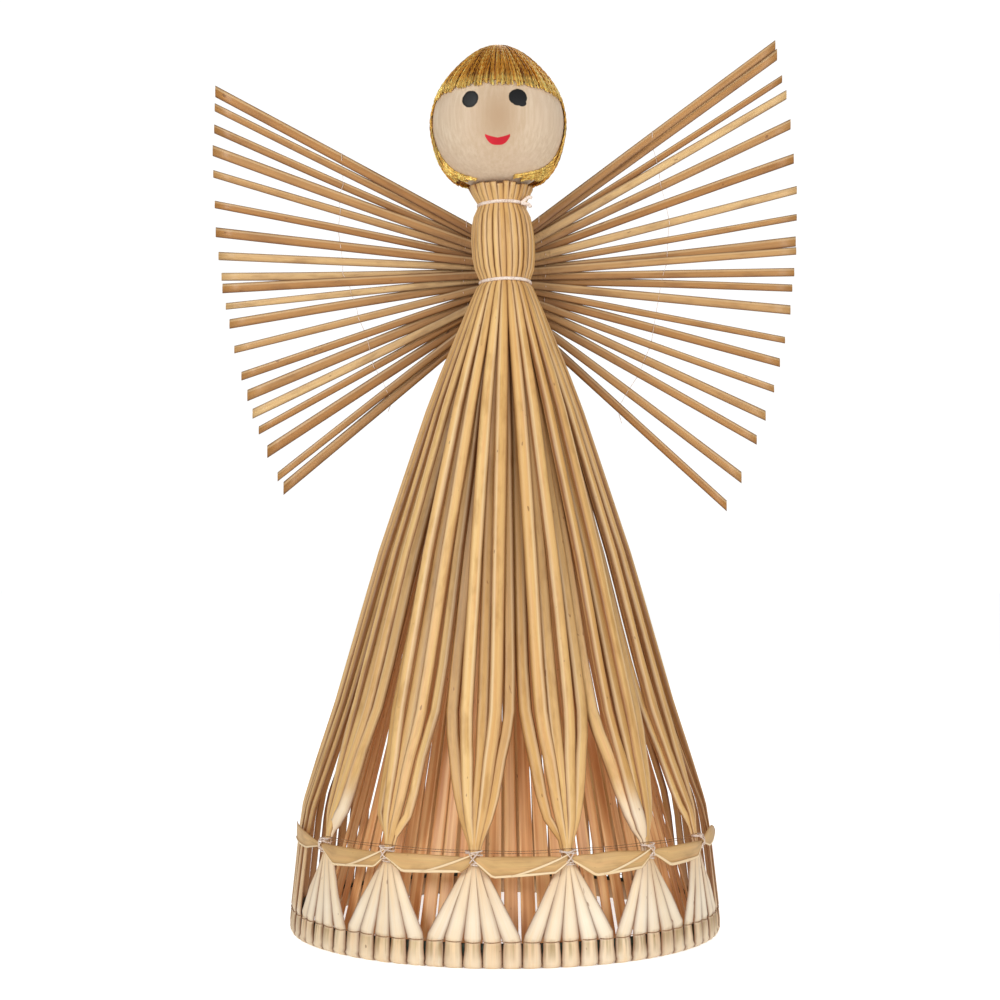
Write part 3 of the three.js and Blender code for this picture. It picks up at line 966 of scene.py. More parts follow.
class ThreadTree(Weaver):
    """Spins a thread of several plies along each line of its guide."""

    def __init__(self) -> None:
        """Builds the tree."""
        sizes = dict.fromkeys(("Radius", "Twist", "Step", "Fuzz"), float)
        counts = dict.fromkeys(("Plies", "Sides", "Seed"), int)
        super().__init__("spun_thread", {**sizes, **counts, "Material": bpy.types.Material})
        line = self.node("GeometryNodeMeshToCurve", None, {0: self.given.outputs["Geometry"]})
        even = self.node("GeometryNodeResampleCurve", {"mode": "LENGTH"}, {0: line.outputs[0]})
        self.tree.links.new(self.given.outputs["Step"], even.inputs["Length"])
        amount = {0: even.outputs[0], "Amount": self.input("Plies")}
        plies = self.node("GeometryNodeDuplicateElements", {"domain": "SPLINE"}, amount)
        length = Value(self, self.node("GeometryNodeSplineParameter").outputs["Length"])
        which = Value(self, plies.outputs["Duplicate Index"])
        angle = length / self.input("Twist") * TAU + which / self.input("Plies") * TAU
        normal = self.node("GeometryNodeInputNormal").outputs[0]
        tangent = self.node("GeometryNodeInputTangent").outputs[0]
        across = self.vector("CROSS_PRODUCT", tangent, normal)
        several = self.input("Plies").maths("GREATER_THAN", 1.5)
        reach = self.input("Radius") * 0.5 * several
        offset = self.vector(
            "ADD",
            self.vector("SCALE", normal, angle.cos() * reach),
            self.vector("SCALE", across, angle.sin() * reach),
        )
        waves = {"Scale": 900.0, "Detail": 1.0, "W": self.input("Seed")}
        noise = self.node("ShaderNodeTexNoise", {"noise_dimensions": "4D"}, waves)
        centred = self.vector("SUBTRACT", noise.outputs["Color"], (0.5, 0.5, 0.5))
        offset = self.vector("ADD", offset, self.vector("SCALE", centred, self.input("Fuzz")))
        moved = self.node("GeometryNodeSetPosition", None, {0: plies.outputs[0], "Offset": offset})
        ring = self.node("GeometryNodeCurvePrimitiveCircle", None, {"Resolution": self.input("Sides")})
        self.tree.links.new((self.input("Radius") * (1 - 0.42 * several)).socket, ring.inputs["Radius"])
        tube = self.node(
            "GeometryNodeCurveToMesh", None, {0: moved.outputs[0], 1: ring.outputs[0], "Fill Caps": True}
        )
        self.deliver(tube.outputs[0], self.input("Material"))


def polylines(lines: Iterable[Array], closed: bool = False) -> tuple[Array, list[tuple[int, int]]]:
    """Several lines as one set of points and edges.

    Args:
        lines: N by 3 arrays.
        closed: Whether each line ends where it starts.

    Returns:
        The points and the edges.
    """
    blocks, edges, first = [], [], 0
    for line in lines:
        count = len(line)
        blocks.append(line)
        edges += [(first + i, first + i + 1) for i in range(count - 1)]
        if closed:
            edges.append((first + count - 1, first))
        first += count
    return np.concatenate(blocks), edges


@dataclass
class Spinner:
    """Makes threads.

    Attributes:
        tree: The tree that spins them.
        count: Threads made so far, the seed of the next.
    """

    tree: ThreadTree = field(default_factory=ThreadTree)
    count: int = 0

    def spin(
        self, name: str, lines: Iterable[Array], finish: Finish, radius: float, **options: Any
    ) -> bpy.types.Object:
        """Makes one piece of thread along lines.

        Args:
            name: Name of the piece.
            lines: N by 3 arrays, in millimetres.
            finish: Its finish.
            radius: Radius of the whole thread, in millimetres.
            options: "closed", "plies", "twist" and "step" in millimetres, "sides" and "fuzz" in millimetres.

        Returns:
            The piece.
        """
        self.count += 1
        points, edges = polylines(lines, options.get("closed", False))
        return self.tree.weave(
            name,
            points,
            edges,
            Radius=radius * MM,
            Plies=options.get("plies", 2),
            Twist=options.get("twist", radius * 6) * MM,
            Step=options.get("step", radius * 1.2) * MM,
            Sides=options.get("sides", 6),
            Fuzz=options.get("fuzz", radius * 0.12) * MM,
            Seed=self.count,
            Material=finish.material,
        )


# --------------------------------------------------------------------------------------------------
# Skirt and torso
# --------------------------------------------------------------------------------------------------


def table(z: Array, *pairs: tuple[float, float]) -> Array:
    """A value that runs straight between given heights.

    Args:
        z: Heights.
        pairs: Height and value, from the top down.

    Returns:
        The value at each height.
    """
    heights, values = zip(*reversed(pairs))
    return np.interp(z, heights, values)


@dataclass(frozen=True)
class StrawKind:
    """How one of a bundle's five straws lies.

    Attributes:
        slot: Its place in the spread skirt, from -2 to 2.
        waist_deg: Its azimuth from the bundle's middle in the torso.
        layer: Its layer, counted inwards.
    """

    slot: int
    waist_deg: float
    layer: int


@dataclass
class Skirt:
    """Fifteen bundles of five straws, and a straight inner layer behind the tied ones.

    Attributes:
        kinds: The five straws of a bundle.
        leafy: Straws that lie flat and wide down to the knot, by their bundle and their slot.
        seed: Seed of the small differences between straws.
    """

    kinds: tuple[StrawKind, ...] = (
        StrawKind(-2, -8.2, 2),
        StrawKind(0, 0.0, 1),
        StrawKind(2, 8.2, 1),
        StrawKind(-1, -6.0, 0),
        StrawKind(1, 6.0, 0),
    )
    leafy: tuple[tuple[int, int], ...] = ((-2, 2), (2, -2), (2, -1))
    seed: int = 11

    def levels(self, top: float) -> Array:
        """Heights from a straw's cut end to the fold, closer together at the ties, the knot and the hem."""
        ties = [BUILD.collar - 1.2, BUILD.collar - 3.2, BUILD.neck + 1.7, BUILD.neck + 0.7, BUILD.neck]
        ties += [BUILD.neck - 0.7, BUILD.neck - 1.8, 240.5, 237, 232, 227, 223, BUILD.waist + 2.2]
        ties += [BUILD.waist + 0.8, BUILD.waist, BUILD.waist - 0.8, BUILD.waist - 2.2, 213, 209, 203, 195]
        skirt = list(np.arange(186, 80, -12.0)) + [76, 69, 62, 56, 51, 47.5, 44.5, 42, 40, 38.2, 36.6, 35]
        hem = [BUILD.knot, 31.2, 29.2, 26.5, 22.5, 18, 14, 11, 9.3, 8.2, 7.2, 5.8, 4.2, 2.6]
        return np.array([top, *ties, *skirt, *hem])

    def surface(self, z: Array) -> Array:
        """Distance of the outer skin from the axis at each height."""
        return table(
            z,
            (BUILD.collar + 0.4, 11.3),
            (BUILD.collar - 3.2, 9.7),
            (BUILD.neck + 0.7, 8.1),
            (BUILD.neck, 7.85),
            (BUILD.neck - 0.7, 8.3),
            (240.5, 9.9),
            (237, 10.6),
            (232, 11.0),
            (227, 10.8),
            (223, 10.2),
            (BUILD.waist + 0.8, 8.6),
            (BUILD.waist, 8.25),
            (BUILD.waist - 0.8, 8.7),
            (BUILD.waist - 2.2, 9.9),
            (209, 13.0),
            (178.7, 25.3),
            (124, 43.5),
            (76.7, 57),
            (56.3, 63.6),
            (42.7, 67.8),
            (BUILD.knot, BUILD.hem_radius - 2.9),
            (18, BUILD.hem_radius - 1.3),
            (9.3, BUILD.hem_radius - 0.35),
            (8.2, BUILD.hem_radius - 0.6),
            (7.2, BUILD.hem_radius - 0.3),
            (4.2, BUILD.hem_radius),
            (2.6, BUILD.hem_radius - 0.05),
        )

    def arch(self, z: Array, tied: bool) -> Array:
        """How far a tied straw is bowed out of its bundle's flat face at each height, from 0 to 1."""
        return table(z, (60, 0), (46, 0.5), (38, 1.0), (30, 1.0), (18, 0.0)) * tied

    def depths(
        self, z: Array, kind: StrawKind, tied: bool, free: Array, rng: np.random.Generator
    ) -> tuple[Array, Array]:
        """How deep a straw lies and how thick it is.

        Args:
            z: Heights.
            kind: Which of the five it is.
            How far in a straw lies and how thick it is.
            free: 1 at the heights where nothing holds the straw, and 0 where it is held.
            rng: Source of its small differences.

        Returns:
            Distance of its middle from the axis, and its thickness, at each height.
        """
        inset = table(
            z, (250, 1.5), (BUILD.waist, 1.1), (200, 1.75), (150, 1.95), (96, 1.7), (60, 1.0), (46, 0.6),
            (37, 0.2),
        )
        thick = table(
            z, (251, 1.1), (246, 1.4), (BUILD.neck, 1.2), (240, 1.8), (232, 2.0), (223, 1.7),
            (BUILD.waist, 1.2), (213, 1.8), (200, 2.4), (170, 2.8), (98, 2.7), (70, 2.3), (55, 1.8),
            (46, 1.4), (38, 1.1), (33, 0.9), (22, 0.75), (9.3, 0.7), (8.2, 0.55), (7.2, 0.9), (4.2, 1.15),
            (2.6, 1.0),
        ) * (1 + rng.uniform(-0.22, 0.12) * free)
        radius = self.surface(z) - thick / 2 - kind.layer * inset - 0.3 * abs(kind.slot) * self.arch(z, tied)
        radius = radius + free * rng.uniform(-0.5, 0.3)
        collar, body = rng.uniform(-0.7, 0.5), rng.uniform(-0.3, 0.2)
        return radius + table(z, (251, collar), (247.5, 0), (243, 0), (236, body), (222, 0)), thick

    def azimuths(self, z: Array, kind: StrawKind, tied: bool, free: Array, rng: np.random.Generator) -> Array:
        """A straw's azimuth from the middle of its bundle.

        Args:
            z: Heights.
            kind: Which of the five it is.
            tied: Whether its bundle is tied at a knot.
            free: 1 at the heights where nothing holds the straw, and 0 where it is held.
            rng: Source of its small differences.

        Returns:
            Degrees at each height.
        """
        even = kind.slot * BUNDLE_DEG / STRAWS
        spread = table(z, (205, 0), (160, 0.7), (120, 1.0))
        degrees = kind.waist_deg + (even - kind.waist_deg) * spread
        kink = abs(kind.slot) == 2 and rng.random() < 0.55
        if kink:
            pitch = table(z, (76, 4.55), (62, 3.75), (51, 3.3), (44.5, 2.75), (38.2, 0.85), (33, 0.42))
        else:
            pitch = table(
                z, (76, 4.6), (69, 4.2), (62, 3.5), (51, 2.7), (44.5, 2.0), (40, 1.25), (36.6, 0.7),
                (33, 0.42),
            )
        fan = table(z, (33, 0.42), (29.2, 1.3), (22.5, 2.85), (14, 4.75), (9.3, 5.85), (8.2, 6.03))
        pitch = np.where(z > BUILD.knot, pitch, fan)
        gathered = np.degrees(kind.slot * pitch / self.surface(z))
        degrees = np.where((z > 76) | (not tied), degrees, gathered)
        sway = rng.uniform(-0.55, 0.55) + rng.uniform(-0.5, 0.5) * np.sin(z / 31 + rng.uniform(0, TAU))
        return degrees + sway * free

    def widths(
        self, z: Array, kind: StrawKind, tied: bool, leafy: bool, free: Array, rng: np.random.Generator
    ) -> Array:
        """How wide a straw is.

        Args:
            z: Heights.
            kind: Which of the five it is.
            tied: Whether its bundle is tied at a knot.
            leafy: Whether it lies flat and wide down to the knot.
            free: 1 at the heights where nothing holds the straw, and 0 where it is held.
            rng: Source of its small differences.

        Returns:
            The width at each height.
        """
        narrow = 0.8 if kind.layer else 1.0
        width = table(
            z, (251, 2.75), (247, 2.4), (BUILD.neck, 2.0), (240, 2.35), (232, 2.6), (223, 2.25),
            (BUILD.waist, 1.95), (213, 2.45), (203, 3.0), (186, 3.75 * (1 + narrow) / 2), (160, 4.15),
            (98, 4.15), (69, 4.2), (56, 3.9),
            (47.5, 3.3), (42, 2.6), (38.2, 2.0), (33, 1.6), (29.2, 2.0), (22.5, 3.35), (14, 5.0), (9.3, 5.6),
            (8.2, 5.4), (7.2, 5.6), (5.8, 5.8), (4.2, 5.92), (2.6, 5.98),
        ) * (1 + rng.uniform(-0.14, 0.06) * free)
        if not tied:
            flat = table(z, (69, 4.4), (44, 4.6), (14, 5.0), (9.3, 5.6)) * (
                1 + rng.uniform(-0.12, 0.06) * free
            )
            width = np.where((z < 69) & (z > 9.3), flat, width)
        elif leafy:
            leaf = table(z, (69, 4.4), (56, 4.9), (44.5, 4.9), (40, 4.0), (36.6, 1.8), (35, 1.2))
            width = np.where((z < 69) & (z > 34), leaf, width)
        body = rng.uniform(0.72, 1.15) * (0.88 if kind.layer == 0 else 1.0)
        width = width * table(z, (251, 0.8), (247, 0.85), (241, body), (224, body), (218, 0.9), (208, 1.0))
        pinch = table(z, (9.3, 0), (8.2, 0.7), (5.8, 1), (2.6, 0)) * rng.choice([0.0, 0.02, 0.07, 0.14])
        return width * (1 - pinch) * table(z, (214, narrow), (190, 1.0))

    def marks(
        self, z: Array, kind: StrawKind, tied: bool, leafy: bool, rng: np.random.Generator
    ) -> dict[str, Array]:
        """What a straw's finish reads at each height.

        Args:
            z: Heights.
            kind: Which of the five it is.
            tied: Whether its bundle is tied at a knot.
            leafy: Whether it lies flat and wide down to the knot.
            rng: Source of its small differences.

        Returns:
            The attribute values, by name.
        """
        blush = table(
            z, (36, 0), (29, 0.5), (14, 1.0), (8.6, 0.9), (7.6, 0.45), (3, 0.75)
        ) * rng.uniform(0.75, 1.0)
        if not tied:
            blush = blush * table(z, (12, 0.25), (8.6, 0.8))
        elif leafy:
            blush = np.maximum(blush, table(z, (53, 0), (46, 0.7), (38, 0.6)))
        tone = rng.beta(2.0, 2.0)
        # Painted shade: inner layers darkest from the neck to the waist, fading down the skirt; the outer
        # layer a little darker at its upper end.
        if kind.layer:
            deep = table(
                z, (251, 0.3), (247, 0.9), (216, 0.95), (205, 0.8), (185, 0.75), (120, 0.4), (70, 0.1),
                (50, 0),
            )
        else:
            deep = table(z, (254, 0.3), (249, 0.1), (214, 0.1), (204, 0))
        return {
            "tone": np.full(len(z), tone),
            "blush": blush,
            "deep": deep,
            "stain": table(z, (8.6, 0), (7.8, 1), (5, 0.8), (1.8, 0)) * rng.uniform(0.6, 1.3),
            "flank": np.full(len(z), rng.choice([-1.0, 1.0])),
            "lining": np.zeros(len(z)),
            "inner": np.full(len(z), 1.0 if tied else 0.3),
        }

    def straw(self, bundle: int, kind: StrawKind, rng: np.random.Generator) -> tuple[Strip, float]:
        """Works out one straw, from its cut end in the collar to its fold under the hoop and up inside.

        Args:
            bundle: Its bundle, counted from the one nearest the front.
            kind: Which of the five it is.
            rng: Source of its small differences.

        Returns:
            The straw, and the offset of its UV map.
        """
        azimuth = FIRST_BUNDLE_DEG + bundle * BUNDLE_DEG
        tied = azimuth in TIED_DEG
        leafy = (bundle, kind.slot) in self.leafy
        z = self.levels(BUILD.collar + rng.uniform(-0.7, 0.3) - 0.5 * kind.layer)
        free = table(z, (214, 0), (190, 1), (60, 1), (44, 0) if tied else (12, 0))
        radius, thick = self.depths(z, kind, tied, free, rng)
        degrees = azimuth + self.azimuths(z, kind, tied, free, rng)
        width = self.widths(z, kind, tied, leafy, free, rng)
        roll = rng.uniform(-16, 16) * free + kind.slot * 15 * self.arch(z, tied)

        fold_radius = BUILD.hem_radius - np.array([0.45, 0.85, 1.8, 3.0, 4.1, 4.75, 4.9, 4.7])
        fold_z = np.array([1.7, 0.85, 0.42, 0.4, 0.75, 1.9, 4.0, 6.7])
        fold_thick = np.array([0.9, 0.85, 0.8, 0.8, 0.8, 0.8, 0.8, 0.8])
        count = len(fold_z)
        radius, z = np.concatenate([radius, fold_radius]), np.concatenate([z, fold_z])
        degrees = np.concatenate([degrees, np.full(count, degrees[-1])])
        width = np.concatenate([width, np.full(count, FOLD_WIDTH)])
        thick = np.concatenate([thick, fold_thick])
        turn = np.radians(np.concatenate([roll, np.zeros(count)]))[:, None]
        path = around(degrees, radius, z)
        path[:, 0] += BUILD.lean(z)
        side = around(degrees + 90, 1.0, 0.0) * np.cos(turn) - around(degrees, 1.0, 0.0) * np.sin(turn)
        marks = self.marks(z, kind, tied, leafy, rng)
        section = Section(
            squareness=rng.uniform(0.86, 1.0),
            crease=rng.choice([0.0, 0.0, 0.3, 0.5]),
            crease_at=rng.uniform(-0.5, 0.5),
        )
        return Strip(path, side, width, thick, section, marks), rng.uniform(0, UV_SPREAD)

    def inner_straw(self, degrees: float, rng: np.random.Generator) -> tuple[Strip, float]:
        """Works out one straight straw of the inner layer, from under the waist to the inside of the hem.

        Args:
            degrees: Its azimuth.
            rng: Source of its small differences.

        Returns:
            The straw, and the offset of its UV map.
        """
        z = np.array([212.0, 205, 196, 184, 168, 150, 132, 114, 96, 78, 62, 48, 36, 26, 17, 10, 5, 1.4])
        radius = table(z, (212.0, 5.2), (1.4, BUILD.hem_radius - 6.3))
        swing = rng.uniform(-0.35, 0.35) * np.sin(np.pi * (z - 1.4) / 210.6)
        path = around(degrees + swing, radius, z)
        width = radius * 2 * math.tan(math.radians(2.0)) * (1 + rng.uniform(-0.14, 0.1))
        thick = np.full(len(z), rng.uniform(0.55, 0.85))
        turn = math.radians(rng.uniform(-9, 9))
        across, out = around(degrees + 90, 1.0, 0.0 * z), around(degrees, 1.0, 0.0 * z)
        side = across * math.cos(turn) - out * math.sin(turn)
        # Painted shade under the waist, fading downwards; the whole straw in the inner side's painted glow
        # and shade colours.
        marks = {
            "tone": np.full(len(z), rng.uniform(0.0, 1.0)),
            "blush": 0.0,
            "deep": table(z, (212, 0.9), (186, 0.4), (150, 0.1), (110, 0.0)),
            "flank": 0.0,
            "lining": 1.0,
            "inner": 0.0,
        }
        marks = {name: np.broadcast_to(values, len(z)).astype(float) for name, values in marks.items()}
        strip = Strip(path, side, width, thick, Section(sides=12, squareness=0.6), marks)
        return strip, rng.uniform(0, UV_SPREAD)

    def build(self) -> None:
        """Makes one piece for each bundle, and one for the inner layer behind each tied bundle."""
        for bundle in range(BUILD.bundles):
            rng = np.random.default_rng(self.seed + bundle)
            draft = MeshDraft()
            for kind in self.kinds:
                near = bundle - BUILD.bundles if bundle > BUILD.bundles / 2 else bundle
                strip, shift = self.straw(near, kind, rng)
                strip.sweep_into(draft, shift)
            name = f"straw_bundle_{bundle + 1:02d}"
            dress(
                draft.to_object(name, Finish.SKIRT.material), "skirt_straw", f"skirt_straws_{bundle + 1:02d}"
            )
        for number, azimuth in enumerate(TIED_DEG, start=1):
            rng = np.random.default_rng(self.seed + 40 + number)
            draft = MeshDraft()
            for slot in range(-2, 3):
                strip, shift = self.inner_straw(azimuth + slot * BUNDLE_DEG / STRAWS, rng)
                strip.sweep_into(draft, shift)
            name = f"straight_straws_{number:02d}"
            dress(draft.to_object(name, Finish.SKIRT.material), "skirt_straw", f"inner_straws_{number:02d}")


# --------------------------------------------------------------------------------------------------
# Hoop, ribbon, knots and stitches
# --------------------------------------------------------------------------------------------------


@dataclass
class Hem:
    """What holds the skirt's lower edge: the hoop, the ribbon, the thread with its knots, and the stitches.

    Attributes:
        spinner: Makes the threads.
        knot_thread: Radius of the thread of the knots.
        running_thread: Radius of the thread that runs on from knot to knot.
        stitch_thread: Radius of the thread of the stitches.
        seed: Seed of the small differences.
    """

    spinner: Spinner
    knot_thread: float = 0.24
    running_thread: float = 0.12
    stitch_thread: float = 0.13
    seed: int = 5

    def hoop(self) -> None:
        """The hoop, a ring with rounded edges."""
        low, high = node_box("hoop")
        outer = (high.x - low.x) / 2
        steps, sides = 150, 16
        degrees = np.arange(steps) * 360 / steps
        section = Section(sides=sides, squareness=0.35).outline()
        centre = (low.z + high.z) / 2
        draft = MeshDraft()
        radii = outer - 0.65 + section[:, 0] * 0.65
        heights = centre + section[:, 1] * (high.z - low.z) / 2
        points = around(degrees[:, None], radii[None, :], heights[None, :])
        draft.add_rings(draft.add_block(points.reshape(-1, 3), {}), steps, sides, closed=True)
        dress(draft.to_object("green_hoop", Finish.HOOP.material), "hoop", "hoop")

    def ribbon_strip(
        self,
        draft: MeshDraft,
        degrees: Array,
        high: Array,
        low: Array,
        proud: Array,
        pale: float,
        rng: np.random.Generator,
    ) -> None:
        """Adds one strip of the ribbon.

        Args:
            draft: The ribbon.
            degrees: Azimuth of each point.
            high: Height of its upper edge over the knots.
            low: Height of its lower edge over the knots.
            proud: How far it stands out.
            pale: Paleness, 0 for the face and 1 for a rim.
            rng: Source of small differences.
        """
        path = around(degrees, BUILD.hem_radius - 1.75 + proud, BUILD.knot + (high + low) / 2)
        count = len(degrees)
        along = np.linspace(0, 1, count)
        marks = {
            "tone": np.full(count, rng.uniform(0.4, 0.9)),
            "blush": np.full(count, pale * 0.85),
            "deep": np.zeros(count),
            "stain": (1 - pale) * (0.25 + 0.6 * along**4),
            "flank": np.zeros(count),
            "lining": np.zeros(count),
            "inner": np.full(count, 0.6),
        }
        up = around(degrees, rng.uniform(-0.1, 0.1) * (1 - pale), 1.0)
        width = np.maximum(high - low, 0.45)
        Strip(path, up, width, np.full(count, 0.34), Section(12, 0.6), marks).sweep_into(
            draft, rng.uniform(0, UV_SPREAD)
        )

    def ribbon(self) -> None:
        """The flat straw that runs over the knots, folded along its lower edge and pinched at every knot."""
        rng = np.random.default_rng(self.seed)
        draft = MeshDraft()
        t = np.concatenate([np.linspace(0, 0.34, 10), np.linspace(0.4, 0.8, 8), np.linspace(0.84, 1, 6)])
        bulge = 0.75 * np.sin(np.pi * t) ** 0.6
        for azimuth in TIED_DEG[:-1]:
            corner, fall = rng.uniform(0.18, 0.3), rng.uniform(0.82, 0.9)
            drop = rng.uniform(4.8, 5.9)
            end = rng.uniform(0.7, 0.95) * drop
            top = np.interp(t, [0, 0.1, 0.5, 0.88, 1], [0.3, 0.9, 1.1 + rng.uniform(-0.3, 0.4), 0.7, 0.3])
            bottom = -np.interp(t, [0, corner, fall, 1], [0.4, drop, end, 0.9])
            degrees = azimuth + t * BUNDLE_DEG
            self.ribbon_strip(draft, degrees, top, bottom, bulge, 0.0, rng)
            rim = rng.uniform(0.7, 1.0) * np.sin(np.pi * t) ** 0.3
            self.ribbon_strip(
                draft, degrees, bottom + rim, bottom - 0.1, bulge + 0.3 * np.sin(np.pi * t), 1.0, rng
            )
            # In most, the fold opens before the next knot, and its second rim runs to the upper turns.
            if rng.random() < 0.65:
                part = np.linspace(rng.uniform(0.35, 0.5), 1.0, 12)
                share = (part - part[0]) / (1 - part[0])
                start = np.interp(part[0], t, bottom)
                middle = start + 0.4 + (0.9 - start) * share**1.25
                half = 0.12 + 0.3 * np.sin(np.pi * share) ** 0.6
                out = 0.75 * np.sin(np.pi * part) ** 0.6 + 0.34
                self.ribbon_strip(
                    draft, azimuth + part * BUNDLE_DEG, middle + half, middle - half, out, 1.0, rng
                )
        leaves = (
            (TIED_DEG[0] - 21, TIED_DEG[0], (4.6, 3.5, 2.6, 0.4), (-0.6, -1.9, -2.2, -0.4)),
            (TIED_DEG[-1], TIED_DEG[-1] + 15, (0.6, 3.4, 4.0, 2.2), (-0.5, -2.4, -1.4, 1.6)),
        )
        for start, end, high, low in leaves:
            share = np.linspace(0, 1, 14)
            keys = (0, 0.35, 0.6, 1)
            high, low = np.interp(share, keys, high), np.interp(share, keys, low)
            degrees = start + (end - start) * share
            out = 0.5 * np.sin(np.pi * share) ** 0.6
            self.ribbon_strip(draft, degrees, high, low, out, 0.0, rng)
            rim = 0.6 * np.sin(np.pi * share) ** 0.3
            self.ribbon_strip(draft, degrees, low + rim, low - 0.1, out + 0.25, 1.0, rng)
        dress(draft.to_object("ribbon_straw", Finish.RIBBON.material), "ribbon_straw", "ribbon")

    def knot_turns(self, degrees: float, rng: np.random.Generator) -> list[Array]:
        """The turns of thread round one bundle.

        Args:
            degrees: Azimuth of the bundle.
            rng: Source of small differences.

        Returns:
            Closed lines.
        """
        out, side = around(degrees, 1.0, 0.0), around(degrees + 90, 1.0, 0.0)
        lines = []
        a = np.arange(20) * TAU / 20
        turns = ((1.9, 2.5, 1.5, 6), (1.35, 2.6, 1.6, -9), (-1.5, 2.4, 1.5, 7), (-2.0, 2.3, 1.4, -5))
        for rise, half, depth, tilt in turns:
            tip = math.tan(math.radians(tilt + rng.uniform(-6, 6)))
            centre = out * (BUILD.hem_radius - 3.2) + Vector(
                (0, 0, BUILD.knot + rise + rng.uniform(-0.15, 0.15))
            )
            x, y = half * np.sin(a), (depth + 0.25 * np.cos(3 * a)) * np.cos(a)
            line = np.array(centre)[None, :] + side[None, :] * x[:, None] + out[None, :] * y[:, None]
            line[:, 2] += x * tip
            lines.append(line)
        # Two turns cross over the ribbon.
        for sign in (-1, 1):
            centre = out * (BUILD.hem_radius - 2.6) + Vector((0, 0, BUILD.knot))
            x, y = 1.35 * np.sin(a), 1.85 * np.cos(a)
            line = np.array(centre)[None, :] + side[None, :] * x[:, None] + out[None, :] * y[:, None]
            line[:, 2] += sign * x * 1.25 + rng.uniform(-0.1, 0.1)
            lines.append(line)
        return lines

    def threads(self) -> None:
        """The knots, and the two threads that run on from knot to knot."""
        rng = np.random.default_rng(self.seed + 1)
        turns, runs = [], []
        for degrees in TIED_DEG:
            turns += self.knot_turns(degrees, rng)
        for height, sag in ((BUILD.knot + 1.6, 0.25), (BUILD.knot + 2.5, 0.5)):
            spans = np.arange((len(TIED_DEG) - 1) * 8 + 1) / 8
            phase = spans % 1
            chord = math.cos(math.radians(BUNDLE_DEG / 2)) / np.cos(np.radians((phase - 0.5) * BUNDLE_DEG))
            radius = (BUILD.hem_radius - 3.4) * chord
            z = height - sag * np.sin(np.pi * phase) + 0.2 * np.sin(spans * 2.1)
            runs.append(around(TIED_DEG[0] + spans * BUNDLE_DEG, radius, z))
        knots = self.spinner.spin(
            "cotton_knots", turns, Finish.COTTON, self.knot_thread, closed=True, sides=5, step=0.34
        )
        dress(knots, "cotton", "gathering_thread")
        running = self.spinner.spin(
            "cotton_running_thread", runs, Finish.STITCH, self.running_thread, sides=5, step=0.5
        )
        dress(running, "cotton", "gathering_thread")

    def stitches(self) -> None:
        """A thread that is sewn over the top of every fold and dips between them."""
        count = BUILD.bundles * STRAWS
        per = 10
        s = np.arange(count * per) / per
        phase = s % 1 - 0.5
        degrees = FIRST_BUNDLE_DEG + (s - STRAWS / 2) * 360 / count
        edge = np.clip(1 - (np.abs(phase) / 0.47) ** 4, -0.2, 1)
        radius = BUILD.hem_radius - 1.0 + 0.62 * edge
        z = 8.2 + 0.35 * (np.abs(phase) * 2) ** 2 - 0.1 + 0.12 * np.sin(s * 1.7)
        line = around(degrees, radius, z)
        thread = self.spinner.spin(
            "hem_stitches", [line], Finish.STITCH, self.stitch_thread, closed=True, sides=5, step=0.3, plies=1
        )
        dress(thread, "cotton")

    def build(self) -> None:
        """Makes every piece of the hem."""
        self.hoop()
        self.ribbon()
        self.threads()
        self.stitches()


# --------------------------------------------------------------------------------------------------
# Ties
# --------------------------------------------------------------------------------------------------


@dataclass
class Ties:
    """The cords round the neck and the waist.

    Attributes:
        spinner: Makes the cords.
        neck_radius: Radius of the upper cord.
        waist_radius: Radius of the lower cord.
    """

    spinner: Spinner
    neck_radius: float = 0.6
    waist_radius: float = 0.58

    def cord(self, node: str, name: str, radius: float, tails: Sequence[Array]) -> None:
        """One cord, with its ends.

        Args:
            node: The solid that it stands for.
            name: Name of the piece.
            radius: Radius of the cord.
            tails: Lines of its loose ends.
        """
        low, high = node_box(node)
        centre = (low + high) / 2
        reach = (high.x - low.x) / 2 - 0.5
        a = np.arange(64) * TAU / 64
        rise = 0.15 * np.sin(a * 2) + 0.45 * np.cos(a)
        ring = np.stack([centre.x + reach * np.sin(a), -reach * np.cos(a), centre.z + rise], axis=-1)
        loop = np.concatenate([ring, ring[:3]])
        lines = [loop, *tails]
        piece = self.spinner.spin(name, lines, Finish.COTTON, radius, plies=1, step=0.5, sides=12, fuzz=0.05)
        dress(piece, "cotton", node)

    def build(self) -> None:
        """Makes both cords."""
        neck = middle("neck_cord")
        t = np.linspace(0, 1, 9)[:, None]
        start = np.array(neck) + np.array([6.6, -6.0, 0])
        tails = [
            start + t * np.array([3.4, -1.2, 1.6]) + np.sin(t * math.pi) * np.array([0.4, 0, 1.0]),
            start + t * np.array([3.0, -0.2, -1.4]) + np.sin(t * math.pi) * np.array([0.9, 0, 0.3]),
        ]
        self.cord("neck_cord", "neck_tie", self.neck_radius, tails)
        self.cord("waist_cord", "waist_tie", self.waist_radius, [])


# --------------------------------------------------------------------------------------------------
# Head
# --------------------------------------------------------------------------------------------------


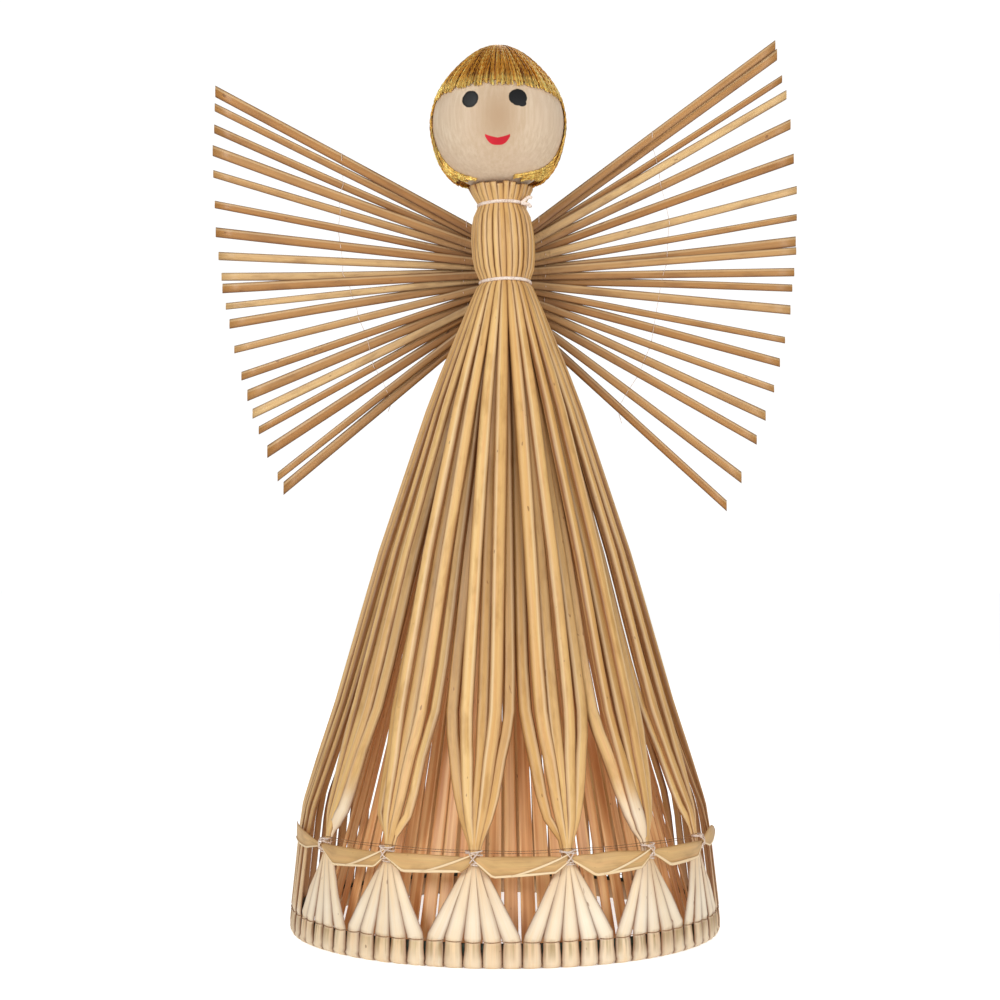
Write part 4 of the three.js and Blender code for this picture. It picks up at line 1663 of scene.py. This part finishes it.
@dataclass
class Head:
    """The wooden ball and its gold hair.

    Attributes:
        spinner: Makes the threads.
        fringe_deg: How far the fringe hangs below the crown at the front.
        fringe_thread: Radius of the fringe's threads.
        long_thread: Radius of the long threads.
        lock_threads: Threads in each of the two locks.
        seed: Seed of the small differences.
    """

    spinner: Spinner
    fringe_deg: float = 66.0
    fringe_thread: float = 0.33
    long_thread: float = 0.34
    lock_threads: int = 30
    seed: int = 3

    def ball(self) -> None:
        """The ball, smooth all over."""
        rings, spokes = 64, 96
        draft = MeshDraft()
        polar = np.pi * np.arange(1, rings) / rings
        turn = TAU * np.arange(spokes) / spokes
        shell = np.stack(
            [
                np.sin(polar)[:, None] * np.cos(turn)[None, :],
                np.sin(polar)[:, None] * np.sin(turn)[None, :],
                np.cos(polar)[:, None] + 0 * turn[None, :],
            ],
            axis=-1,
        ).reshape(-1, 3)
        points = np.concatenate([shell, [[0, 0, 1], [0, 0, -1]]]) * BUILD.ball_radius + np.array(BUILD.ball)
        first = draft.add_block(points, {})
        draft.add_rings(first, rings - 1, spokes)
        draft.add_cap(first + len(shell), first, spokes)
        draft.add_cap(first + len(shell) + 1, first + (rings - 2) * spokes, spokes, turned=True)
        dress(draft.to_object("wooden_ball", Finish.BALL.material), "ball_wood", "head_ball")

    def height_over(self, direction: Array) -> Array:
        """How far the outer threads lie over the ball in each direction."""
        fall = np.degrees(np.arccos(np.clip(direction[:, 2], -1, 1)))
        low = np.clip((-direction[:, 2] - 0.2) / 0.6, 0, 1)
        return 0.45 + 3.9 * np.exp(-((fall / 29) ** 2)) + 1.5 * low * low * (3 - 2 * low)

    def forward(self, clock: float | Array, fall: Array) -> Array:
        """How far the side threads are drawn forward under the ball, in radians."""
        turned = (np.asarray(clock) + 180) % 360 - 180
        share = np.clip(1 - (np.abs(turned) - 86) / 34, 0, 1) * (np.abs(turned) > 84)
        return -np.sign(turned) * np.radians(20) * share * np.clip((fall - 1.35) / 1.0, 0, 1) ** 1.4

    def strand(self, clock: float, end: float, rng: np.random.Generator, lift: float) -> Array:
        """One thread, from the crown down the ball.

        Args:
            clock: Direction in which it leaves the crown, in degrees from the front towards +X.
            end: How far down it reaches, in degrees from the crown.
            rng: Source of small differences.
            lift: How far it lies over its neighbours.

        Returns:
            Its line.
        """
        count = max(8, int(end / 5))
        fall = np.radians(np.linspace(2.5, end, count))
        back = abs(((clock + 180) % 360) - 180) / 180  # 0 at the front, 1 at the back
        drift = np.radians(clock) + np.radians(rng.uniform(-2.5, 2.5)) * np.sin(fall * rng.uniform(1.0, 2.4))
        drift = drift + self.forward(clock, fall)
        if back > 0.45:  # drawn together behind the neck
            pull = np.clip((fall - 1.6) / 1.3, 0, 1) ** 1.5 * 0.75
            drift = drift + (math.copysign(math.pi, clock) - np.radians(clock)) * pull * (1 - back)
        direction = np.stack(
            [np.sin(fall) * np.sin(drift), -np.sin(fall) * np.cos(drift), np.cos(fall)], axis=-1
        )
        reach = BUILD.ball_radius + self.height_over(direction) + lift
        return np.array(BUILD.ball) + direction * reach[:, None]

    def hair(self) -> None:
        """The threads: a fringe over the forehead, and long ones drawn down the sides and the back."""
        rng = np.random.default_rng(self.seed)
        fringe: list[Array] = []
        long: dict[str, list[Array]] = {"left": [], "right": []}
        for clock in np.arange(-84, 84.1, 1.15):
            lean = rng.uniform(-0.5, 0.5)
            side = (abs(clock) / 84) ** 3
            end = self.fringe_deg + 3.5 * (abs(clock) / 84) ** 2 + rng.uniform(-2.2, 2.2) + 3.0 * side
            fringe.append(self.strand(clock + lean, end, rng, rng.uniform(-0.05, 0.4)))
        for clock in np.arange(86, 274.1, 1.1):
            angle = (clock + 180) % 360 - 180
            end = np.interp(abs(angle), [86, 96, 120, 180], [142, 140, 142, 150]) + rng.uniform(-2, 2)
            long["right" if angle > 0 else "left"].append(
                self.strand(angle, end, rng, rng.uniform(-0.05, 0.35))
            )
        t = np.linspace(0, 1, 14)
        for side, sweep in ((-1, 38), (1, 54)):  # a lock comes forward over the ball's lower edge
            for layer in np.linspace(1, 0, self.lock_threads):
                fall = np.radians(86 + rng.uniform(-2, 2) + (66 - 9 * layer + rng.uniform(-2, 2)) * t)
                sweep_now = sweep * (1 - 0.75 * layer) + rng.uniform(-4, 4)
                turn = side * np.radians(89 + rng.uniform(-2, 2) - 7 * (1 - layer) * t - sweep_now * t**6)
                flat = np.stack(
                    [np.sin(fall) * np.sin(turn), -np.sin(fall) * np.cos(turn), np.cos(fall)], axis=-1
                )
                reach = BUILD.ball_radius + 0.35 + layer * (self.height_over(flat) - 0.2)
                long["right" if side > 0 else "left"].append(np.array(BUILD.ball) + flat * reach[:, None])
        spun = {"twist": 5.0, "sides": 5, "fuzz": 0.02}
        piece = self.spinner.spin("gold_fringe", fringe, Finish.GOLD, self.fringe_thread, step=0.62, **spun)
        dress(piece, "gold_thread", "hair")
        for hand, threads in long.items():
            name = f"gold_long_hair_{hand}"
            piece = self.spinner.spin(name, threads, Finish.GOLD, self.long_thread, step=0.85, **spun)
            dress(piece, "gold_thread", "hair")

    def underlayer(self) -> None:
        """The threads underneath, as a gold shell in darker, duller colours: painted shade that fills what
        shows between the outer ones.
        """
        spokes, rings = 72, 30
        clock = np.arange(spokes) * 360 / spokes
        turned = np.abs((clock + 180) % 360 - 180)
        end = np.interp(turned, [0, 60, 88, 96, 120, 180], [62, 64, 72, 138, 140, 146])
        draft = MeshDraft()
        shells = []
        for lift in (0.36, 0.12):
            fall = np.radians(end[None, :] * (np.arange(1, rings + 1) / rings)[:, None])
            a = np.radians(clock)[None, :] + 0 * fall
            direction = np.stack([np.sin(fall) * np.sin(a), -np.sin(fall) * np.cos(a), np.cos(fall)], axis=-1)
            flat = direction.reshape(-1, 3)
            over = np.maximum(self.height_over(flat) - 0.35, 0) * (1 if lift > 0.2 else 0) + lift
            shells.append(np.array(BUILD.ball) + flat * (BUILD.ball_radius + over)[:, None])
        poles = [np.array(BUILD.ball) + [0, 0, BUILD.ball_radius + lift] for lift in (3.6, 0.12)]
        draft.add_block(np.concatenate([*shells, poles]), {})
        size = rings * spokes
        draft.add_cap(2 * size, 0, spokes)
        draft.add_cap(2 * size + 1, size, spokes, turned=True)
        draft.add_rings(0, rings, spokes)
        draft.add_rings(size, rings, spokes, turned=True)
        rim = size - spokes
        for j in range(spokes):
            k = (j + 1) % spokes
            draft.faces.append((rim + j, size + rim + j, size + rim + k, rim + k))
            draft.uvs += [(j, 0), (j, 1), (j + 1, 1), (j + 1, 0)]
        dress(draft.to_object("shaded_gold_underlayer", Finish.GOLD_SHADED.material), "gold_thread", "hair")

    def build(self) -> None:
        """Makes the head."""
        self.ball()
        self.underlayer()
        self.hair()


# --------------------------------------------------------------------------------------------------
# Wings
# --------------------------------------------------------------------------------------------------


@dataclass
class Wings:
    """Two fans of twenty straws, laid across the back.

    Attributes:
        spinner: Makes the threads.
        paler: Paleness of the straws that are paler than the rest, left and right, by number from the top.
        width: Width of a straw.
        thick: Its thickness.
        lace_radius: Radius of the threads across the fans.
        seed: Seed of the small differences.
    """

    spinner: Spinner
    paler: tuple[dict[int, float], dict[int, float]] = (
        {7: 0.7, 8: 0.8, 10: 0.9, 15: 0.9, 12: 0.35, 4: 0.3},
        {3: 0.85, 6: 0.8, 9: 0.35, 12: 0.4, 16: 0.3},
    )
    width: float = 2.95
    thick: float = 1.1
    lace_radius: float = 0.13
    seed: int = 23

    def ends(self, node: str) -> tuple[Array, Array, Array]:
        """Where a straw starts, crosses the back and ends.

        Args:
            node: Name of its solid.

        Returns:
            Middle of the left end, of the crossing and of the right end.
        """
        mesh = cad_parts[node].data
        points = np.array([v.co for v in mesh.vertices]) / MM
        left = points[points[:, 0] < -30].mean(axis=0)
        right = points[points[:, 0] > 30].mean(axis=0)
        return left, points[np.abs(points[:, 0]) < 5].mean(axis=0), right

    def straw(self, number: int, node: str) -> None:
        """One straw of the wings, from tip to tip.

        Args:
            number: Its number from the top.
            node: The solid that it stands for.
        """
        rng = np.random.default_rng(self.seed + number)
        left, cross, right = self.ends(node)
        width = self.width + 0.3 * math.sin(2.3 * number + 0.6) + rng.uniform(-0.15, 0.25)
        t = np.linspace(0, 1, 19)[:, None]
        ease = t**0.96
        bend = np.array([0, 0.0, rng.uniform(-0.5, 0.5)])
        halves = [end + (cross - end) * ease + np.sin(np.pi * t) * bend for end in (left, right)]
        path = np.concatenate([halves[0], halves[1][::-1][1:]])
        smooth = path.copy()
        smooth[17:20, 2] = np.convolve(path[:, 2], np.ones(5) / 5, "same")[17:20]
        run = unit(np.gradient(smooth, axis=0))
        side = np.stack([-run[:, 2], np.zeros(len(run)), run[:, 0]], axis=-1)
        taper = rng.choice([-1, 1]) * 0.12
        widths = width * (1 + taper * np.linspace(-1, 1, len(path)))
        pale = [self.paler[s].get(number, rng.uniform(0.0, 0.22)) for s in (0, 1)]
        # Painted shade, darker towards the middle of the back; the back faces take part of the inner side's
        # painted shade colours.
        marks = {
            "tone": np.interp(np.linspace(0, 1, len(path)), [0, 0.42, 0.58, 1], np.repeat(pale, 2)),
            "blush": 0.0,
            "deep": np.clip(1 - np.abs(path[:, 0]) / 60, 0, 1) * 0.35,
            "lining": 0.0,
            "inner": 0.35,
        }
        draft = MeshDraft()
        cut = [side[0] / max(0.4, abs(run[0, 0])), side[-1] / max(0.4, abs(run[-1, 0]))]
        ends = np.array([[0, 0, np.linalg.norm(c)] for c in cut])
        section = Section(
            squareness=rng.uniform(0.75, 0.95),
            crease=rng.choice([0.0, 0.3, 0.5]),
            crease_at=rng.uniform(-0.4, 0.4),
        )
        stalk = Strip(smooth, side, widths, np.full(len(path), self.thick), section, marks)
        stalk.sweep_into(draft, rng.uniform(0, UV_SPREAD), ends)
        dress(draft.to_object(f"wing_stalk_{number + 1:02d}", Finish.WING.material), "wing_straw", node)

    def lace(self, sign: int, name: str, node: str, reach: Sequence[float], tail: float) -> None:
        """A thread that is woven in and out of one fan.

        Args:
            sign: -1 for the left wing, 1 for the right.
            name: Name of the piece.
            node: The solid that it stands for.
            reach: Distance from the back's middle at the top and from the middle straws down.
            tail: Length of its loose end.
        """
        rng = np.random.default_rng(self.seed + 60 + sign)
        points = []
        for number, straw_node in enumerate(nodes_named("wing_straw")):
            left, cross, right = self.ends(straw_node)
            end = left if sign < 0 else right
            run = (end - cross) / np.linalg.norm(end - cross)
            along = np.interp(number, [0, 12], reach) + rng.uniform(-0.7, 0.7)
            spot = cross + run * along
            spot[1] += 0.85 if number % 2 else -0.85
            points.append(spot)
        line = np.array(points)
        line = line[np.argsort(-line[:, 2])]
        above = line[0] + np.array([0, 0.2, 2.2])
        below = line[-1] + np.array([[sign * 0.3, 0.3, -tail * 0.5], [sign * 1.2, 0.6, -tail]])
        line = np.concatenate([[above], line, below])
        fine = np.linspace(0, len(line) - 1, (len(line) - 1) * 5 + 1)
        eased = np.floor(fine) + (1 - np.cos(np.pi * (fine % 1))) / 2
        line = np.stack([np.interp(eased, np.arange(len(line)), line[:, k]) for k in range(3)], axis=-1)
        piece = self.spinner.spin(name, [line], Finish.COTTON, self.lace_radius, sides=5, step=0.4)
        dress(piece, "cotton", node)

    def build(self) -> None:
        """Makes both wings."""
        for number, node in enumerate(nodes_named("wing_straw")):
            self.straw(number, node)
        self.lace(-1, "left_wing_thread", "wing_lace_left", (64, 52), 4.5)
        self.lace(1, "right_wing_thread", "wing_lace_right", (64, 54), 5.5)
        self.lace(-1, "left_root_thread", "wing_root_thread_left", (14.5, 14.5), 2.0)
        self.lace(1, "right_root_thread", "wing_root_thread_right", (14.5, 14.5), 2.0)


# --------------------------------------------------------------------------------------------------
# Studio
# --------------------------------------------------------------------------------------------------


@dataclass
class Studio:
    """Floor, lights and camera.

    Attributes:
        camera_at: Place of the camera.
        tilt_deg: How far it looks up.
        lens: Its focal length.
        lamps: Name, place in metres, side in metres and power in watts of each light.
    """

    camera_at: tuple[float, float, float] = (-1.7, -653.0, 119.2)
    tilt_deg: float = 2.18
    lens: float = 69.1
    lamps: tuple[tuple[str, tuple[float, float, float], float, float], ...] = (
        ("key", (-0.75, -1.15, 0.7), 0.55, 8.5),
        ("fill", (0.85, -1.05, 0.4), 0.8, 6.5),
        ("rim", (0.3, 1.1, 0.9), 0.8, 3.5),
    )

    def floor(self) -> None:
        """A plain pale floor."""
        bpy.ops.mesh.primitive_plane_add(size=24.0)
        plane = bpy.context.object
        plane.name = "studio_floor"
        paint = Paint("studio_floor")
        cloud = paint.noise(paint.place(), 3.0, 1.0)
        paint.set(Base_Color=paint.mix(cloud, srgb(252, 252, 252), srgb(250, 250, 250)), Roughness=0.9)
        seen = Value(paint, paint.node("ShaderNodeLightPath").outputs["Is Camera Ray"])
        paint.set(Emission_Color=(1.0, 1.0, 1.0), Emission_Strength=seen * 0.5 + 0.16)
        plane.data.materials.append(paint.material)

    def lamp(self, name: str, place: tuple[float, float, float], size: float, power: float) -> None:
        """A soft square light that faces the angel.

        Args:
            name: Its name.
            place: Where it hangs, in metres.
            size: Its side, in metres.
            power: Its power, in watts.
        """
        data = bpy.data.lights.new(name, "AREA")
        data.shape, data.size, data.energy = "SQUARE", size, power
        lamp = bpy.data.objects.new(name, data)
        lamp.location = place
        lamp.rotation_euler = (Vector((0, 0, 0.15)) - Vector(place)).to_track_quat("-Z", "Y").to_euler()
        bpy.context.scene.collection.objects.link(lamp)

    def sky(self) -> None:
        """White all round: full white where it is seen, dimmer where it lights."""
        world = bpy.data.worlds.new("studio")
        world.use_nodes = True
        graph = Graph(world.node_tree)
        background = world.node_tree.nodes["Background"]
        seen = graph.node("ShaderNodeLightPath").outputs["Is Camera Ray"]
        strength = Value(graph, seen) * 0.7 + 0.36
        graph.tree.links.new(strength.socket, background.inputs["Strength"])
        background.inputs["Color"].default_value = (1.0, 1.0, 1.0, 1.0)
        bpy.context.scene.world = world

    def camera(self) -> None:
        """The camera, level in roll, looking a little up."""
        data = bpy.data.cameras.new("camera")
        data.lens, data.sensor_width, data.clip_start = self.lens, 36.0, 0.01
        camera = bpy.data.objects.new("camera", data)
        camera.location = Vector(self.camera_at) * MM
        camera.rotation_euler = (math.radians(90 + self.tilt_deg), 0, 0)
        bpy.context.scene.collection.objects.link(camera)
        bpy.context.scene.camera = camera

    def build(self) -> None:
        """Makes the studio."""
        self.camera()
        self.floor()
        self.sky()
        for name, place, size, power in self.lamps:
            self.lamp(name, place, size, power)
        bpy.context.scene.view_settings.view_transform = "Standard"


def main() -> None:
    """Builds the angel and its studio."""
    logging.basicConfig(level=logging.INFO, format="%(name)s: %(message)s")
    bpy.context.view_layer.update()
    Studio().build()
    spinner = Spinner()
    Skirt().build()
    Hem(spinner).build()
    Ties(spinner).build()
    Head(spinner).build()
    Wings(spinner).build()


if __name__ == "__main__":
    main()
